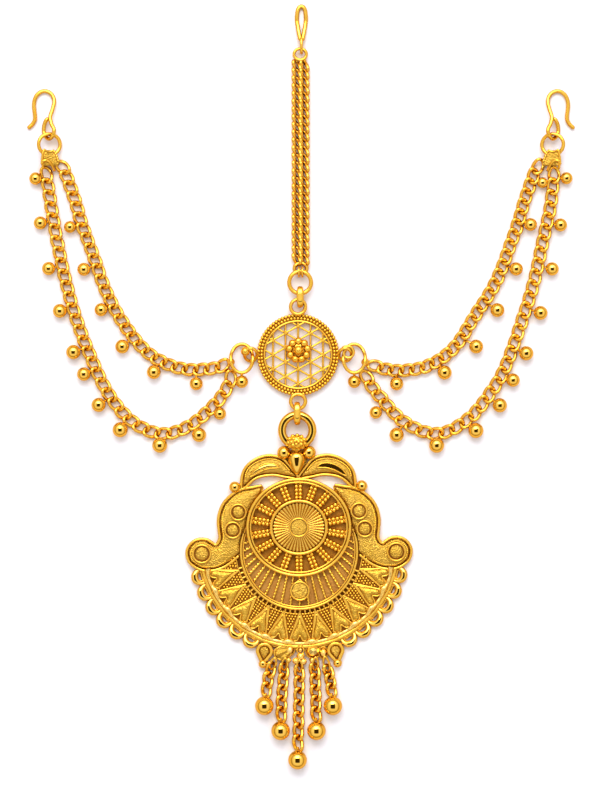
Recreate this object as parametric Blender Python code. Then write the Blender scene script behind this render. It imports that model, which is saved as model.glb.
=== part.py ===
"""Forehead chain of yellow gold, laid flat: a hair chain, a filigree disc, a large pendant
with five drops, and two swags of chain on each side that end in hooks.

Metres, +Z up. The piece lies on z = 0, face up, with the hair chain towards +Y.
"""

import math

import bmesh
import bpy
from mathutils import Matrix, Vector

# Clearance between pieces that hang in one another, and the level of the flat rings
CLEARANCE = 0.0003
RING_LEVEL = 0.00195

# Faces that meet at a smaller angle, in degrees, are made one after a join
FLAT_ANGLE = 0.4

# Hair loop, the ring under it and the hair chain
LOOP_X = 0.0001
LOOP_TOP_Y = 0.0957
LOOP_LENGTH = 0.0089
LOOP_WIDTH = 0.0033
LOOP_WIRE = 0.00095
EYE_WIRE = 0.00075
HAIR_RING_X = -0.0002
HAIR_RING_TOP_Y = 0.0849
HAIR_RING_WIDTH = 0.0039
HAIR_RING_LENGTH = 0.0036
HAIR_RING_WIRE = 0.0008
HAIR_CHAIN_X = -0.0001
HAIR_CHAIN_WIDTH = 0.0039
HAIR_CHAIN_THICKNESS = 0.0014
HAIR_CHAIN_RISE = 0.0046
END_LINK_WIRE = 0.0006

# Jump ring, above the disc's top loop, and the standing link between them
JUMP_RING_X = -0.00022
JUMP_RING_RISE = 0.0061
JUMP_RING_RADIUS = 0.00327
JUMP_RING_WIRE = 0.00105
LINK_WIRE = 0.0010
LINK_WIDTH = 0.00185

# Filigree disc
DISC_X = -0.00075
DISC_Y = 0.00795
DISC_RADIUS = 0.0103
DISC_RIM_WIDTH = 0.0019
DISC_THICKNESS = 0.0024
LATTICE_PITCH = 0.00313
LATTICE_BAR = 0.0005
LATTICE_DEPTH = 0.0006
DISC_LOOP_RADIUS = 0.0023
DISC_LOOP_WIRE = 0.00093
SIDE_LOOP_RADIUS = 0.0020
SIDE_LOOP_WIRE = 0.00085
SIDE_LOOP_SLOPE = 0.85
FLOWER_BALL = 0.0018
FLOWER_RADIUS = 0.0022
FLOWER_PETALS = 9

# Oval side rings with their beads
SIDE_RING_GAP = 0.00225
SIDE_RING_DROP = 0.00095
SIDE_RING_WIDTH = 0.0064
SIDE_RING_LENGTH = 0.0081
SIDE_RING_WIRE = 0.0009
SIDE_RING_LIFT = 0.0009
RING_BEAD = 0.0020
RING_BALL = 0.0032
NECK = 0.0007

# Ends of the side chains, out and up from the side rings
END_OUT = 0.04885
END_RISE = 0.0535
END_RING_RADIUS = 0.00308
END_RING_WIRE = 0.00093
END_RING_SLOPE = -0.3
END_PLATE_WIDTH = 0.0038
END_PLATE_LENGTH = 0.0020
END_PLATE_SHIFT = 0.0005
END_NECK_WIDTH = 0.0016
END_PLATE_SHEET = 0.0004
HOOK_WIRE = 0.0010

# Side chains and the balls on them
CHAIN_DIAMETER = 0.0029
CHAIN_BALL = 0.0033
# Points along a chain's tube, in diameters apart
POINT_PITCH = 2.9
BALL_HOLD = 0.0005

# Link and thick ring that carry the pendant
PENDANT_RING_X = -0.00095
PENDANT_RING_FALL = 0.00717
PENDANT_RING_RADIUS = 0.0048
PENDANT_RING_WIRE = 0.0020

# Pendant
PENDANT_X = -0.0005
PENDANT_TURN = 0.0105
PENDANT_REACH = 0.0281
BASE_THICKNESS = 0.0012
BACK_SHEET = 0.0004
WHEEL_RISE = 0.0053
WHEEL_RADIUS_X = 0.0132
WHEEL_RADIUS_Y = 0.0124
WHEEL_HEIGHT = 0.0028
WHEEL_WIRE = 0.0010
SPOKES = 18
SPOKE_WIDTH = 0.0018
HUB_RADIUS_X = 0.0073
HUB_RADIUS_Y = 0.0070
HUB_WIRE = 0.0008
BUTTON_RADIUS = 0.0023
SUNBURST_DROP = 0.0006
SUNBURST_RADIUS = 0.01485
SUNBURST_WIRE = 0.0009
SUNBURST_HEIGHT = 0.0020
RAY_PITCH = 6.7
RAY_WIDTH = 0.0005
BORDER_RADIUS = 0.0250
BORDER_HALF_ANGLE = 78
RIM_WIRE = 0.0010
HEARTS = 11
HEART_PITCH = 14.1
HEART_TIP_GAP = 0.00165
HEART_LOBE_GAP = 0.0003
HEART_WIDTH = 0.0047
HEART_HEIGHT = 0.0005
SCALLOPS = 6
SCALLOP_START = 28.3
SCALLOP_PITCH = 9.25
SCALLOP_RADIUS = 0.0022
SCALLOP_WIRE = 0.0009
DOME_HEIGHT = 0.0010
BEZEL_RADIUS = 0.0019
BEZEL_HEIGHT = 0.0007
CREST_X = -0.0004
CREST_TIP_SHARE = 0.645
CREST_RISE = 0.0066755
CREST_BALL = 0.0031
CREST_BOSS_RADIUS = 0.0019
CREST_BOSS_LENGTH = 0.0064
BAIL_WIDTH = 0.0022
BAIL_WALL = 0.0007
SHOULDER_BALL = 0.0027
DROP_SETTING_RADIUS = 0.0020
DROP_SETTING_LENGTH = 0.0042
SETTING_BALL = 0.0022

# Drops
DROP_CHAIN_DIAMETER = 0.0028
DROP_BALL = 0.0046

# Places that follow from the sizes: each piece hangs from the one before it
TOP_LOOP_Y = DISC_Y + DISC_RADIUS + DISC_LOOP_RADIUS * 0.72
BOTTOM_LOOP_Y = DISC_Y - DISC_RADIUS - DISC_LOOP_RADIUS * 0.60
SIDE_LOOP_OUT = DISC_RADIUS + SIDE_LOOP_RADIUS * 0.75
SIDE_RING_OUT = SIDE_LOOP_OUT + SIDE_RING_GAP
SIDE_RING_Y = DISC_Y - SIDE_RING_DROP
END_X = SIDE_RING_OUT + END_OUT
END_Y = SIDE_RING_Y + END_RISE
JUMP_RING_Y = TOP_LOOP_Y + JUMP_RING_RISE
HAIR_CHAIN_END_Y = JUMP_RING_Y + HAIR_CHAIN_RISE
PENDANT_RING_Y = BOTTOM_LOOP_Y - PENDANT_RING_FALL
PENDANT_Y = PENDANT_RING_Y - PENDANT_RING_RADIUS - CREST_RISE - CREST_TIP_SHARE * PENDANT_REACH
PENDANT_FOOT_Y = PENDANT_Y - BORDER_RADIUS
HEART_TIP_RADIUS = SUNBURST_RADIUS + HEART_TIP_GAP
HEART_LENGTH = BORDER_RADIUS - RIM_WIRE - HEART_LOBE_GAP - HEART_TIP_RADIUS

# Outline of the right wing, as shares of the pendant's reach from its middle line
WING_OUTLINE = [
    (0.310, 0.548), (0.421, 0.546), (0.525, 0.525), (0.596, 0.482), (0.662, 0.417), (0.701, 0.338),
    (0.717, 0.253), (0.711, 0.163), (0.705, 0.097), (0.737, 0.040), (0.772, 0.058), (0.819, 0.086),
    (0.877, 0.092), (0.936, 0.074), (0.982, 0.028), (1.000, -0.031), (0.982, -0.104), (0.936, -0.149),
    (0.872, -0.183), (0.799, -0.192), (0.721, -0.178), (0.648, -0.146), (0.500, -0.120), (0.400, 0.000),
    (0.330, 0.200), (0.280, 0.380),
]
LEAF_OUTLINE = [
    (0.512, 0.510), (0.495, 0.689), (0.402, 0.784), (0.276, 0.829), (0.148, 0.806), (0.062, 0.720),
    (0.004, 0.628), (0.105, 0.634), (0.233, 0.656), (0.377, 0.629), (0.460, 0.520),
]
BEZEL_PLACES = [(0.537, 0.330), (0.587, 0.170), (0.865, -0.037)]
SHOULDER_BALL_PLACE = (0.566, 0.550)
SHOULDER_HOLD = (0.490, 0.505)
DROP_SETTING_PLACE = 0.318
# Heart, as shares of its half width and its length from the tip
HEART_OUTLINE = [(0.0, 0.0), (0.55, 0.38), (0.95, 0.72), (0.80, 0.97), (0.42, 1.0), (0.0, 0.88)]

# Hook, from its tip to the end of its eye, from the middle of the ring that it holds: x, y, z
HOOK_ROUTE = [
    (-0.0052, 0.0044, 0.0006), (-0.0042, 0.0054, 0.0006), (-0.0037, 0.0068, 0.0006),
    (-0.0040, 0.0100, 0.0006), (-0.0035, 0.0121, 0.0006), (-0.0024, 0.0132, 0.0006),
    (-0.0012, 0.0135, 0.0006), (0.0001, 0.0130, 0.0006), (0.0009, 0.0119, 0.0007),
    (0.0011, 0.0105, 0.0010), (0.0007, 0.0087, 0.0014), (0.0002, 0.0068, 0.0020),
    (0.0006, 0.0050, 0.0025), (0.0012, 0.0038, 0.0029), (0.0011, 0.0024, 0.0029),
    (0.0000, 0.0014, 0.0020), (-0.0011, 0.0022, 0.0011), (-0.0015, 0.0034, 0.0008),
    (-0.0014, 0.0048, 0.0009), (-0.0011, 0.0059, 0.0012),
]

# Routes of the side chains, from the end plate to the side ring: x, y from the side ring's middle
CHAIN_ROUTES = {
    "outer_chain_left": [
        (-0.04995, 0.0470), (-0.04835, 0.0373), (-0.04675, 0.0282), (-0.04475, 0.0190), (-0.04215, 0.0098),
        (-0.03865, 0.0006), (-0.03425, -0.0086), (-0.02825, -0.0157), (-0.02095, -0.0188),
        (-0.01385, -0.0168), (-0.00725, -0.0112), (-0.00425, -0.0069),
    ],
    "inner_chain_left": [
        (-0.04515, 0.0475), (-0.04245, 0.0394), (-0.04085, 0.0338), (-0.03785, 0.0256), (-0.03455, 0.0164),
        (-0.02965, 0.0077), (-0.02355, 0.0009), (-0.01585, -0.0025), (-0.00825, -0.0025), (-0.00435, -0.0014),
    ],
    "outer_chain_right": [
        (0.04955, 0.0470), (0.04845, 0.0379), (0.04645, 0.0287), (0.04435, 0.0195), (0.04155, 0.0103),
        (0.03715, -0.0020), (0.03335, -0.0086), (0.02775, -0.0152), (0.02015, -0.0188), (0.01195, -0.0160),
        (0.00535, -0.0091), (0.00305, -0.0060),
    ],
    "inner_chain_right": [
        (0.04455, 0.0475), (0.04205, 0.0399), (0.04025, 0.0338), (0.03825, 0.0282), (0.03465, 0.0190),
        (0.02925, 0.0103), (0.02415, 0.0026), (0.01745, -0.0019), (0.00935, -0.0030), (0.00325, -0.0014),
    ],
}

# Where the small link at an outer chain's lower end meets the side ring, from its middle: x, y
LAST_LINKS = {"outer_chain_left": (-0.00335, -0.0030), "outer_chain_right": (0.00195, -0.0030)}

# Balls on the side chains: x, y of each from the side ring's middle
CHAIN_BALLS = {
    "outer_chain_left": [
        (-0.05235, 0.0450), (-0.05115, 0.0339), (-0.04905, 0.0225), (-0.04625, 0.0119), (-0.04285, 0.0016),
        (-0.04025, -0.0039), (-0.03655, -0.0116), (-0.03115, -0.0178), (-0.02125, -0.0217),
        (-0.01145, -0.0191), (-0.00625, -0.0138),
    ],
    "inner_chain_left": [
        (-0.04375, 0.0329), (-0.04025, 0.0223), (-0.03595, 0.0122), (-0.03065, 0.0030), (-0.02275, -0.0034),
        (-0.01215, -0.0063),
    ],
    "outer_chain_right": [
        (0.05235, 0.0451), (0.05085, 0.0334), (0.04875, 0.0224), (0.04585, 0.0114), (0.04225, 0.0013),
        (0.03895, -0.0054), (0.03565, -0.0117), (0.02965, -0.0180), (0.01985, -0.0217), (0.00985, -0.0191),
        (0.00465, -0.0135),
    ],
    "inner_chain_right": [
        (0.04555, 0.0408), (0.04335, 0.0335), (0.03975, 0.0224), (0.03505, 0.0121), (0.02975, 0.0030),
        (0.02185, -0.0035), (0.00985, -0.0063),
    ],
}

# Drop chains from the pendant down to their balls: x, y from the pendant's foot
DROP_ROUTES = [
    [(-0.0068, -0.0051), (-0.0078, -0.0080), (-0.0083, -0.0117)],
    [(-0.0037, -0.0051), (-0.0043, -0.0124), (-0.0045, -0.0179)],
    [(0.0001, -0.0051), (0.0000, -0.0125), (-0.0003, -0.0252)],
    [(0.0039, -0.0051), (0.0042, -0.0124), (0.0043, -0.0179)],
    [(0.0072, -0.0057), (0.0079, -0.0085), (0.0082, -0.0117)],
]


def clear_scene():
    for obj in list(bpy.data.objects):
        bpy.data.objects.remove(obj)


def gold(name, colour, roughness):
    material = bpy.data.materials.new(name)
    material.use_nodes = True
    shader = material.node_tree.nodes["Principled BSDF"]
    shader.inputs["Base Color"].default_value = (*colour, 1)
    shader.inputs["Metallic"].default_value = 1
    shader.inputs["Roughness"].default_value = roughness
    return material


def node_from(name, mesh_data, roughness):
    obj = bpy.data.objects.new(name, mesh_data)
    bpy.context.scene.collection.objects.link(obj)
    obj.data.materials.clear()
    obj.data.materials.append(gold(name + "_gold", (0.84, 0.52, 0.13), roughness))
    obj.data.shade_smooth()
    obj.data.set_sharp_from_angle(angle=math.radians(40))
    return obj


def piece_from(bm):
    """A loose piece that is still to be fused: closed, with its faces pointing out."""
    bmesh.ops.remove_doubles(bm, verts=bm.verts, dist=1e-6)
    bmesh.ops.recalc_face_normals(bm, faces=bm.faces)
    mesh = bpy.data.meshes.new("piece")
    bm.to_mesh(mesh)
    bm.free()
    obj = bpy.data.objects.new("piece", mesh)
    bpy.context.scene.collection.objects.link(obj)
    return obj


def combined(first, others, operation):
    """first joined with the others, or cut by them, as a new mesh. All of them are used up."""
    if others:
        group = bpy.data.collections.new("operands")
        bpy.context.scene.collection.children.link(group)
        for obj in others:
            bpy.context.scene.collection.objects.unlink(obj)
            group.objects.link(obj)
        boolean = first.modifiers.new("combine", "BOOLEAN")
        boolean.operation = operation
        boolean.operand_type = "COLLECTION"
        # The exact solver leaves open edges where the many small pieces of the pendant meet
        boolean.solver = "MANIFOLD"
        boolean.collection = group
        merge = first.modifiers.new("merge_flat_faces", "DECIMATE")
        merge.decimate_type = "DISSOLVE"
        merge.angle_limit = math.radians(FLAT_ANGLE)
    graph = bpy.context.evaluated_depsgraph_get()
    mesh = bpy.data.meshes.new_from_object(first.evaluated_get(graph))
    for obj in [first, *others]:
        bpy.data.objects.remove(obj)
    if others:
        bpy.data.collections.remove(group)
    return mesh


def fused(name, pieces, roughness=0.2):
    return node_from(name, combined(pieces[0], pieces[1:], "UNION"), roughness)


def cut(piece, cutters):
    obj = bpy.data.objects.new("piece", combined(piece, cutters, "DIFFERENCE"))
    bpy.context.scene.collection.objects.link(obj)
    return obj


def smooth(points, count, closed=False):
    """count points, evenly apart, on a smooth curve through the given ones."""
    given = [Vector(point).to_3d() for point in points]
    total = len(given)
    dense = []
    spans = total if closed else total - 1
    for i in range(spans):
        if closed:
            a, b, c, d = (given[(i + k) % total] for k in (-1, 0, 1, 2))
        else:
            a, b, c, d = (given[min(max(i + k, 0), total - 1)] for k in (-1, 0, 1, 2))
        for step in range(24):
            t = step / 24
            dense.append(
                0.5 * (2 * b + (c - a) * t + (2 * a - 5 * b + 4 * c - d) * t * t
                       + (3 * b - a - 3 * c + d) * t ** 3)
            )
    dense.append(given[0] if closed else given[-1])
    lengths = [0.0]
    for before, after in zip(dense, dense[1:]):
        lengths.append(lengths[-1] + (after - before).length)
    found = []
    k = 0
    for i in range(count):
        wanted = lengths[-1] * i / (count if closed else count - 1)
        while k < len(lengths) - 2 and lengths[k + 1] < wanted:
            k += 1
        share = (wanted - lengths[k]) / max(lengths[k + 1] - lengths[k], 1e-9)
        found.append(dense[k].lerp(dense[k + 1], min(share, 1)))
    return found


def length_of(points):
    dense = smooth(points, 100)
    return sum((b - a).length for a, b in zip(dense, dense[1:]))


def swept(points, diameter, closed=False, resolution=1):
    """A round wire along the points."""
    data = bpy.data.curves.new("wire", "CURVE")
    data.dimensions = "3D"
    data.fill_mode = "FULL"
    data.bevel_depth = diameter / 2
    data.bevel_resolution = resolution
    data.use_fill_caps = True
    spline = data.splines.new("POLY")
    spline.points.add(len(points) - 1)
    for target, point in zip(spline.points, points):
        target.co = (*Vector(point).to_3d(), 1)
    spline.use_cyclic_u = closed
    guide = bpy.data.objects.new("wire", data)
    bpy.context.scene.collection.objects.link(guide)
    graph = bpy.context.evaluated_depsgraph_get()
    bm = bmesh.new()
    bm.from_mesh(guide.evaluated_get(graph).to_mesh())
    bpy.data.objects.remove(guide)
    return bm


def wire(points, diameter, closed=False, resolution=1):
    return piece_from(swept(points, diameter, closed, resolution))


def oval(centre, half_x, half_y, count, slope=(0, 0)):
    """Points of an oval, which rises by the given slopes along x and y."""
    cx, cy, cz = centre
    found = []
    for i in range(count):
        turn = 2 * math.pi * i / count
        x, y = half_x * math.cos(turn), half_y * math.sin(turn)
        found.append((cx + x, cy + y, cz + slope[0] * x + slope[1] * y))
    return found


def standing_link(name, x, y_top, y_bottom, opening, thickness, width, roughness=0.15):
    """A link that stands on edge on the table, round the rings that pass through it."""
    half_z = opening / 2 + thickness / 2
    half_y = (y_top - y_bottom - thickness) / 2
    middle = (y_top + y_bottom) / 2
    points = []
    for i in range(14):
        turn = 2 * math.pi * i / 14
        across = math.copysign(abs(math.sin(turn)) ** 0.7, math.sin(turn))
        along = math.copysign(abs(math.cos(turn)) ** 0.8, math.cos(turn))
        points.append((0, half_y * along, half_z + thickness / 2 + half_z * across))
    bm = swept(points, thickness, closed=True)
    for vert in bm.verts:
        middle_share = 1 - (vert.co.y / (half_y + thickness)) ** 2
        vert.co.x *= 1 + (width / thickness - 1) * middle_share
    bmesh.ops.translate(bm, vec=(x, middle, 0), verts=bm.verts)
    return fused(name, [piece_from(bm)], roughness)


def ball(centre, diameter, rings=4, sides=10, stretch=(1, 1, 1)):
    bm = bmesh.new()
    bmesh.ops.create_uvsphere(bm, u_segments=sides, v_segments=rings, radius=diameter / 2)
    bmesh.ops.scale(bm, vec=stretch, verts=bm.verts)
    bmesh.ops.translate(bm, vec=centre, verts=bm.verts)
    return piece_from(bm)


def moved_in(outline, distance):
    """The outline, drawn inwards by a distance, with sharp corners kept from running away."""
    flat = [Vector((point[0], point[1])) for point in outline]
    area = sum(a.x * b.y - b.x * a.y for a, b in zip(flat, flat[1:] + flat[:1]))
    found = []
    for before, here, after in zip(flat[-1:] + flat[:-1], flat, flat[1:] + flat[:1]):
        one, two = (here - before).normalized(), (after - here).normalized()
        inward = Vector((-one.y - two.y, one.x + two.x)) * math.copysign(1, area)
        found.append(here + inward.normalized() * distance * min(2 / max(inward.length, 0.1), 1.5))
    return found


def plate(outline, bottom, top, crown=0.0, shoulder=0.0):
    """A plate with the given outline. A crown lifts its top inside a sloping shoulder."""
    bm = bmesh.new()
    layers = [(outline, bottom), (outline, top)]
    if crown:
        layers.append((moved_in(outline, shoulder), top + crown))
    rows = [[bm.verts.new((point[0], point[1], z)) for point in row] for row, z in layers]
    bm.faces.new(rows[0])
    bm.faces.new(rows[-1])
    count = len(outline)
    for lower, upper in zip(rows, rows[1:]):
        for i in range(count):
            j = (i + 1) % count
            bm.faces.new([lower[i], lower[j], upper[j], upper[i]])
    bmesh.ops.recalc_face_normals(bm, faces=bm.faces)
    bmesh.ops.triangulate(bm, faces=bm.faces)
    return piece_from(bm)


def boss(centre, radius, length, height, sides=10):
    """Half of a lying teardrop: round at its head and drawn out to a tip towards -Y."""
    bm = bmesh.new()
    bmesh.ops.create_uvsphere(bm, u_segments=sides, v_segments=sides // 2 + 1, radius=radius,
                              matrix=Matrix.Rotation(math.pi / 2, 4, "X"))
    tail = (length - radius) / radius
    for vert in bm.verts:
        if vert.co.y < 0:
            fall = 1 - 0.35 * (-vert.co.y / radius)
            vert.co.x *= fall
            vert.co.z *= fall
            vert.co.y *= tail
        vert.co.z = max(vert.co.z * height / radius, 0) + centre[2]
    bmesh.ops.translate(bm, vec=(centre[0], centre[1], 0), verts=bm.verts)
    return piece_from(bm)


def turned(profile, half_x, half_y, centre=(0, 0), count=32):
    """A ring or a disc. The profile holds (distance inside the edge, z) from outside to inside.
    A distance of None is the middle."""
    bm = bmesh.new()
    rows = []
    for inside, z in profile:
        if inside is None:
            rows.append([bm.verts.new((centre[0], centre[1], z))])
            continue
        row = []
        for i in range(count):
            turn = 2 * math.pi * i / count
            x = centre[0] + (half_x - inside) * math.cos(turn)
            y = centre[1] + (half_y - inside) * math.sin(turn)
            row.append(bm.verts.new((x, y, z)))
        rows.append(row)
    closed = profile[0][0] is not None and profile[-1][0] is not None
    pairs = list(zip(rows, rows[1:]))
    if closed:
        pairs.append((rows[-1], rows[0]))
    for a, b in pairs:
        for i in range(count):
            j = (i + 1) % count
            corners = [a[i % len(a)], a[j % len(a)], b[j % len(b)], b[i % len(b)]]
            unique = list(dict.fromkeys(corners))
            bm.faces.new(unique)
    return piece_from(bm)


def ring_wall(half_x, half_y, width, bottom, top, centre=(0, 0), count=32):
    """A ring whose walls lean in towards its top."""
    profile = [(0, bottom), (width * 0.2, top), (width * 0.8, top), (width, bottom)]
    return turned(profile, half_x, half_y, centre, count)


def button(centre, radius, bottom, top, count=12):
    """A round setting with a sloping edge."""
    edge = radius * 0.15
    profile = [(None, bottom), (0, bottom), (0, top - edge), (edge, top), (None, top)]
    return turned(profile, radius, radius, centre, count)


def bar(start, end, width, bottom, top):
    a, b = Vector(start), Vector(end)
    side = (b - a).orthogonal().normalized() * width / 2
    outline = [a + side, a - side, b - side, b + side]
    return plate(outline, bottom, top)


def around(radius, degrees, centre=(0, 0)):
    """A point at an angle from straight down, positive towards +X."""
    turn = math.radians(degrees)
    return Vector((centre[0] + radius * math.sin(turn), centre[1] - radius * math.cos(turn)))


def folded_strap(width, length, opening, wall, middle, slope=0.0, count=4):
    """A strip folded round into a flat loop that other pieces pass through."""
    bm = bmesh.new()
    sides = []
    for side in (-1, 1):
        rows = []
        for half_y, half_z in ((length / 2, opening / 2 + wall), (length / 2 - wall, opening / 2)):
            bend = min(half_y, half_z)
            row = []
            for end in (-1, 1):
                for i in range(count + 1):
                    turn = math.pi * (i / count - 0.5) + (math.pi if end < 0 else 0)
                    y = end * (half_y - bend) + bend * math.cos(turn)
                    z = half_z * math.sin(turn)
                    x = side * width / 2
                    row.append(bm.verts.new((x, y, z + slope * x)))
            rows.append(row)
        sides.append(rows)
    total = len(sides[0][0])
    for i in range(total):
        j = (i + 1) % total
        for layer in (0, 1):
            bm.faces.new([sides[0][layer][i], sides[0][layer][j], sides[1][layer][j], sides[1][layer][i]])
        for side in (0, 1):
            bm.faces.new([sides[side][0][i], sides[side][0][j], sides[side][1][j], sides[side][1][i]])
    bmesh.ops.translate(bm, vec=middle, verts=bm.verts)
    return piece_from(bm)


def hair_loop():
    """A teardrop of wire for a hair pin, with a standing eye that holds the ring below."""
    eye_top = LOOP_TOP_Y - LOOP_LENGTH
    ring_inner = HAIR_RING_TOP_Y - HAIR_RING_WIRE
    eye_bottom = ring_inner - CLEARANCE - EYE_WIRE
    opening = HAIR_RING_WIRE + 2 * CLEARANCE
    level = EYE_WIRE + opening / 2
    half = (LOOP_WIDTH - LOOP_WIRE) / 2
    low = LOOP_WIRE / 2
    top = LOOP_TOP_Y - LOOP_WIRE / 2
    route = [(0, eye_top - EYE_WIRE / 2, level), (-half * 0.55, eye_top + LOOP_LENGTH * 0.14, level * 0.8)]
    route += [(-half, top - LOOP_LENGTH * 0.36, low), (-half * 0.75, top - LOOP_LENGTH * 0.08, low)]
    route += [(0, top, low)]
    route += [(-x, y, z) for x, y, z in reversed(route[1:-1])]
    teardrop = smooth([(LOOP_X + x, y, z) for x, y, z in route], 16, closed=True)
    eye = []
    half_y = (eye_top - eye_bottom - EYE_WIRE) / 2
    for i in range(12):
        turn = 2 * math.pi * i / 12
        y = (eye_top + eye_bottom) / 2 + half_y * math.cos(turn)
        eye.append((LOOP_X, y, level + (opening + EYE_WIRE) / 2 * math.sin(turn)))
    return fused("hair_loop", [wire(teardrop, LOOP_WIRE, True), wire(eye, EYE_WIRE, True)], 0.15)


def hair_ring():
    middle = HAIR_RING_TOP_Y - HAIR_RING_LENGTH / 2
    level = EYE_WIRE + CLEARANCE + HAIR_RING_WIRE / 2
    points = oval((HAIR_RING_X, middle, level), (HAIR_RING_WIDTH - HAIR_RING_WIRE) / 2,
                  (HAIR_RING_LENGTH - HAIR_RING_WIRE) / 2, 14)
    return fused("hair_ring", [wire(points, HAIR_RING_WIRE, True)], 0.15)


def hair_chain():
    """Two strands of fine chain side by side, as one band, with the loops that end it."""
    start = HAIR_RING_TOP_Y - HAIR_RING_LENGTH - CLEARANCE
    strand = HAIR_CHAIN_WIDTH / 4
    outline = []
    for side in (1, -1):
        for i in range(9):
            turn = math.pi * (0.75 - 1.5 * i / 8)
            x = side * (strand + strand * math.cos(turn))
            z = HAIR_CHAIN_THICKNESS / 2 * (1 + side * math.sin(turn))
            outline.append((x, z))
    bm = bmesh.new()
    face = bm.faces.new([bm.verts.new((HAIR_CHAIN_X + x, HAIR_CHAIN_END_Y, z)) for x, z in outline])
    moved = bmesh.ops.extrude_face_region(bm, geom=[face])
    ends = [item for item in moved["geom"] if isinstance(item, bmesh.types.BMVert)]
    bmesh.ops.translate(bm, vec=(0, start - HAIR_CHAIN_END_Y, 0), verts=ends)
    bmesh.ops.triangulate(bm, faces=bm.faces)
    pieces = [piece_from(bm)]
    ring_inner = JUMP_RING_Y + JUMP_RING_RADIUS - JUMP_RING_WIRE
    low = ring_inner - CLEARANCE - END_LINK_WIRE / 2
    high = HAIR_CHAIN_END_Y + END_LINK_WIRE
    opening = JUMP_RING_WIRE + 2 * CLEARANCE
    for side in (-1, 1):
        x = HAIR_CHAIN_X + side * END_LINK_WIRE * 0.9
        reach = (opening + END_LINK_WIRE) / 2
        points = [
            (x, high, HAIR_CHAIN_THICKNESS * 0.35), (x, low + reach, RING_LEVEL - reach),
            (x, low, RING_LEVEL), (x, low + reach, RING_LEVEL + reach),
            (x, HAIR_CHAIN_END_Y, RING_LEVEL + reach * 0.5), (x, high + reach, HAIR_CHAIN_THICKNESS * 0.6),
        ]
        pieces.append(wire(smooth(points, 11), END_LINK_WIRE))
    return fused("hair_chain", pieces, 0.25)


def jump_ring():
    half = JUMP_RING_RADIUS - JUMP_RING_WIRE / 2
    points = oval((JUMP_RING_X, JUMP_RING_Y, RING_LEVEL), half, half, 14)
    return fused("upper_jump_ring", [wire(points, JUMP_RING_WIRE, True)], 0.1)


def upper_link():
    top = JUMP_RING_Y - JUMP_RING_RADIUS + JUMP_RING_WIRE + CLEARANCE + LINK_WIRE
    bottom = TOP_LOOP_Y + DISC_LOOP_RADIUS - DISC_LOOP_WIRE - CLEARANCE * 2 - LINK_WIRE
    opening = 2 * (RING_LEVEL - LINK_WIRE)
    return standing_link("upper_link", JUMP_RING_X, top, bottom, opening, LINK_WIRE, LINK_WIDTH)


def lattice():
    """Bars in three directions, an equal pitch apart, inside the rim."""
    inner = DISC_RADIUS - DISC_RIM_WIDTH / 2
    bottom = DISC_THICKNESS / 2 - LATTICE_DEPTH / 2
    bars = []
    rows = int(inner / LATTICE_PITCH)
    for direction in range(3):
        turn = math.radians(90 + 60 * direction)
        along = Vector((math.cos(turn), math.sin(turn)))
        across = Vector((-along.y, along.x))
        for row in range(-rows, rows + 1):
            offset = row * LATTICE_PITCH
            half = math.sqrt(inner ** 2 - offset ** 2)
            middle = across * offset
            bars.append(bar(middle - along * half, middle + along * half, LATTICE_BAR,
                            bottom, bottom + LATTICE_DEPTH))
    return bars


def flower():
    """A ring of beads soldered round a middle one, seen as a scalloped boss."""
    level = DISC_THICKNESS / 2 - LATTICE_DEPTH / 4
    outline = []
    for i in range(2 * FLOWER_PETALS):
        reach = FLOWER_RADIUS + (FLOWER_BALL * 0.5 if i % 2 else FLOWER_BALL * 0.15)
        turn = math.pi * i / FLOWER_PETALS
        outline.append((reach * math.cos(turn), reach * math.sin(turn)))
    top = level + FLOWER_BALL * 0.6
    return [plate(outline, level, top, FLOWER_BALL * 0.35, FLOWER_BALL * 0.4),
            ball((0, 0, top), FLOWER_BALL * 1.3)]


def filigree_disc():
    rim = ring_wall(DISC_RADIUS, DISC_RADIUS, DISC_RIM_WIDTH, 0, DISC_THICKNESS, count=32)
    pieces = [rim, *lattice(), *flower()]
    half = DISC_LOOP_RADIUS - DISC_LOOP_WIRE / 2
    for y in (TOP_LOOP_Y - DISC_Y, BOTTOM_LOOP_Y - DISC_Y):
        pieces.append(wire(oval((0, y, RING_LEVEL), half, half, 11), DISC_LOOP_WIRE, True))
    half = SIDE_LOOP_RADIUS - SIDE_LOOP_WIRE / 2
    for side in (-1, 1):
        loop = oval((side * SIDE_LOOP_OUT, 0, RING_LEVEL), half, half, 11, slope=(0, SIDE_LOOP_SLOPE))
        pieces.append(wire(loop, SIDE_LOOP_WIRE, True))
    obj = fused("filigree_disc", pieces, 0.25)
    obj.location = (DISC_X, DISC_Y, 0)
    return obj


def side_ring(name, side):
    """An oval ring through the disc's side loop, with a bead and a hanging ball."""
    x = DISC_X + side * SIDE_RING_OUT
    y = SIDE_RING_Y
    half_x = (SIDE_RING_WIDTH - SIDE_RING_WIRE) / 2
    half_y = (SIDE_RING_LENGTH - SIDE_RING_WIRE) / 2
    points = []
    for cx, cy, cz in oval((x, y, RING_LEVEL), half_x, half_y, 14):
        away = (cy - DISC_Y) / (SIDE_LOOP_RADIUS * 0.6)
        points.append((cx, cy, cz - SIDE_RING_LIFT * math.tanh(away)))
    low = y - half_y
    hang = low - SIDE_RING_WIRE / 2 - RING_BALL / 2 - CLEARANCE / 2
    ball_level = RING_LEVEL + SIDE_RING_LIFT * 0.4
    pieces = [
        wire(points, SIDE_RING_WIRE, True),
        ball((x + side * half_x, y - half_y * 0.25, RING_LEVEL), RING_BEAD),
        wire([(x, low, RING_LEVEL + SIDE_RING_LIFT * 0.8), (x, hang, ball_level)], NECK),
        ball((x, hang, ball_level), RING_BALL),
    ]
    return fused(name, pieces, 0.12)


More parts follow.
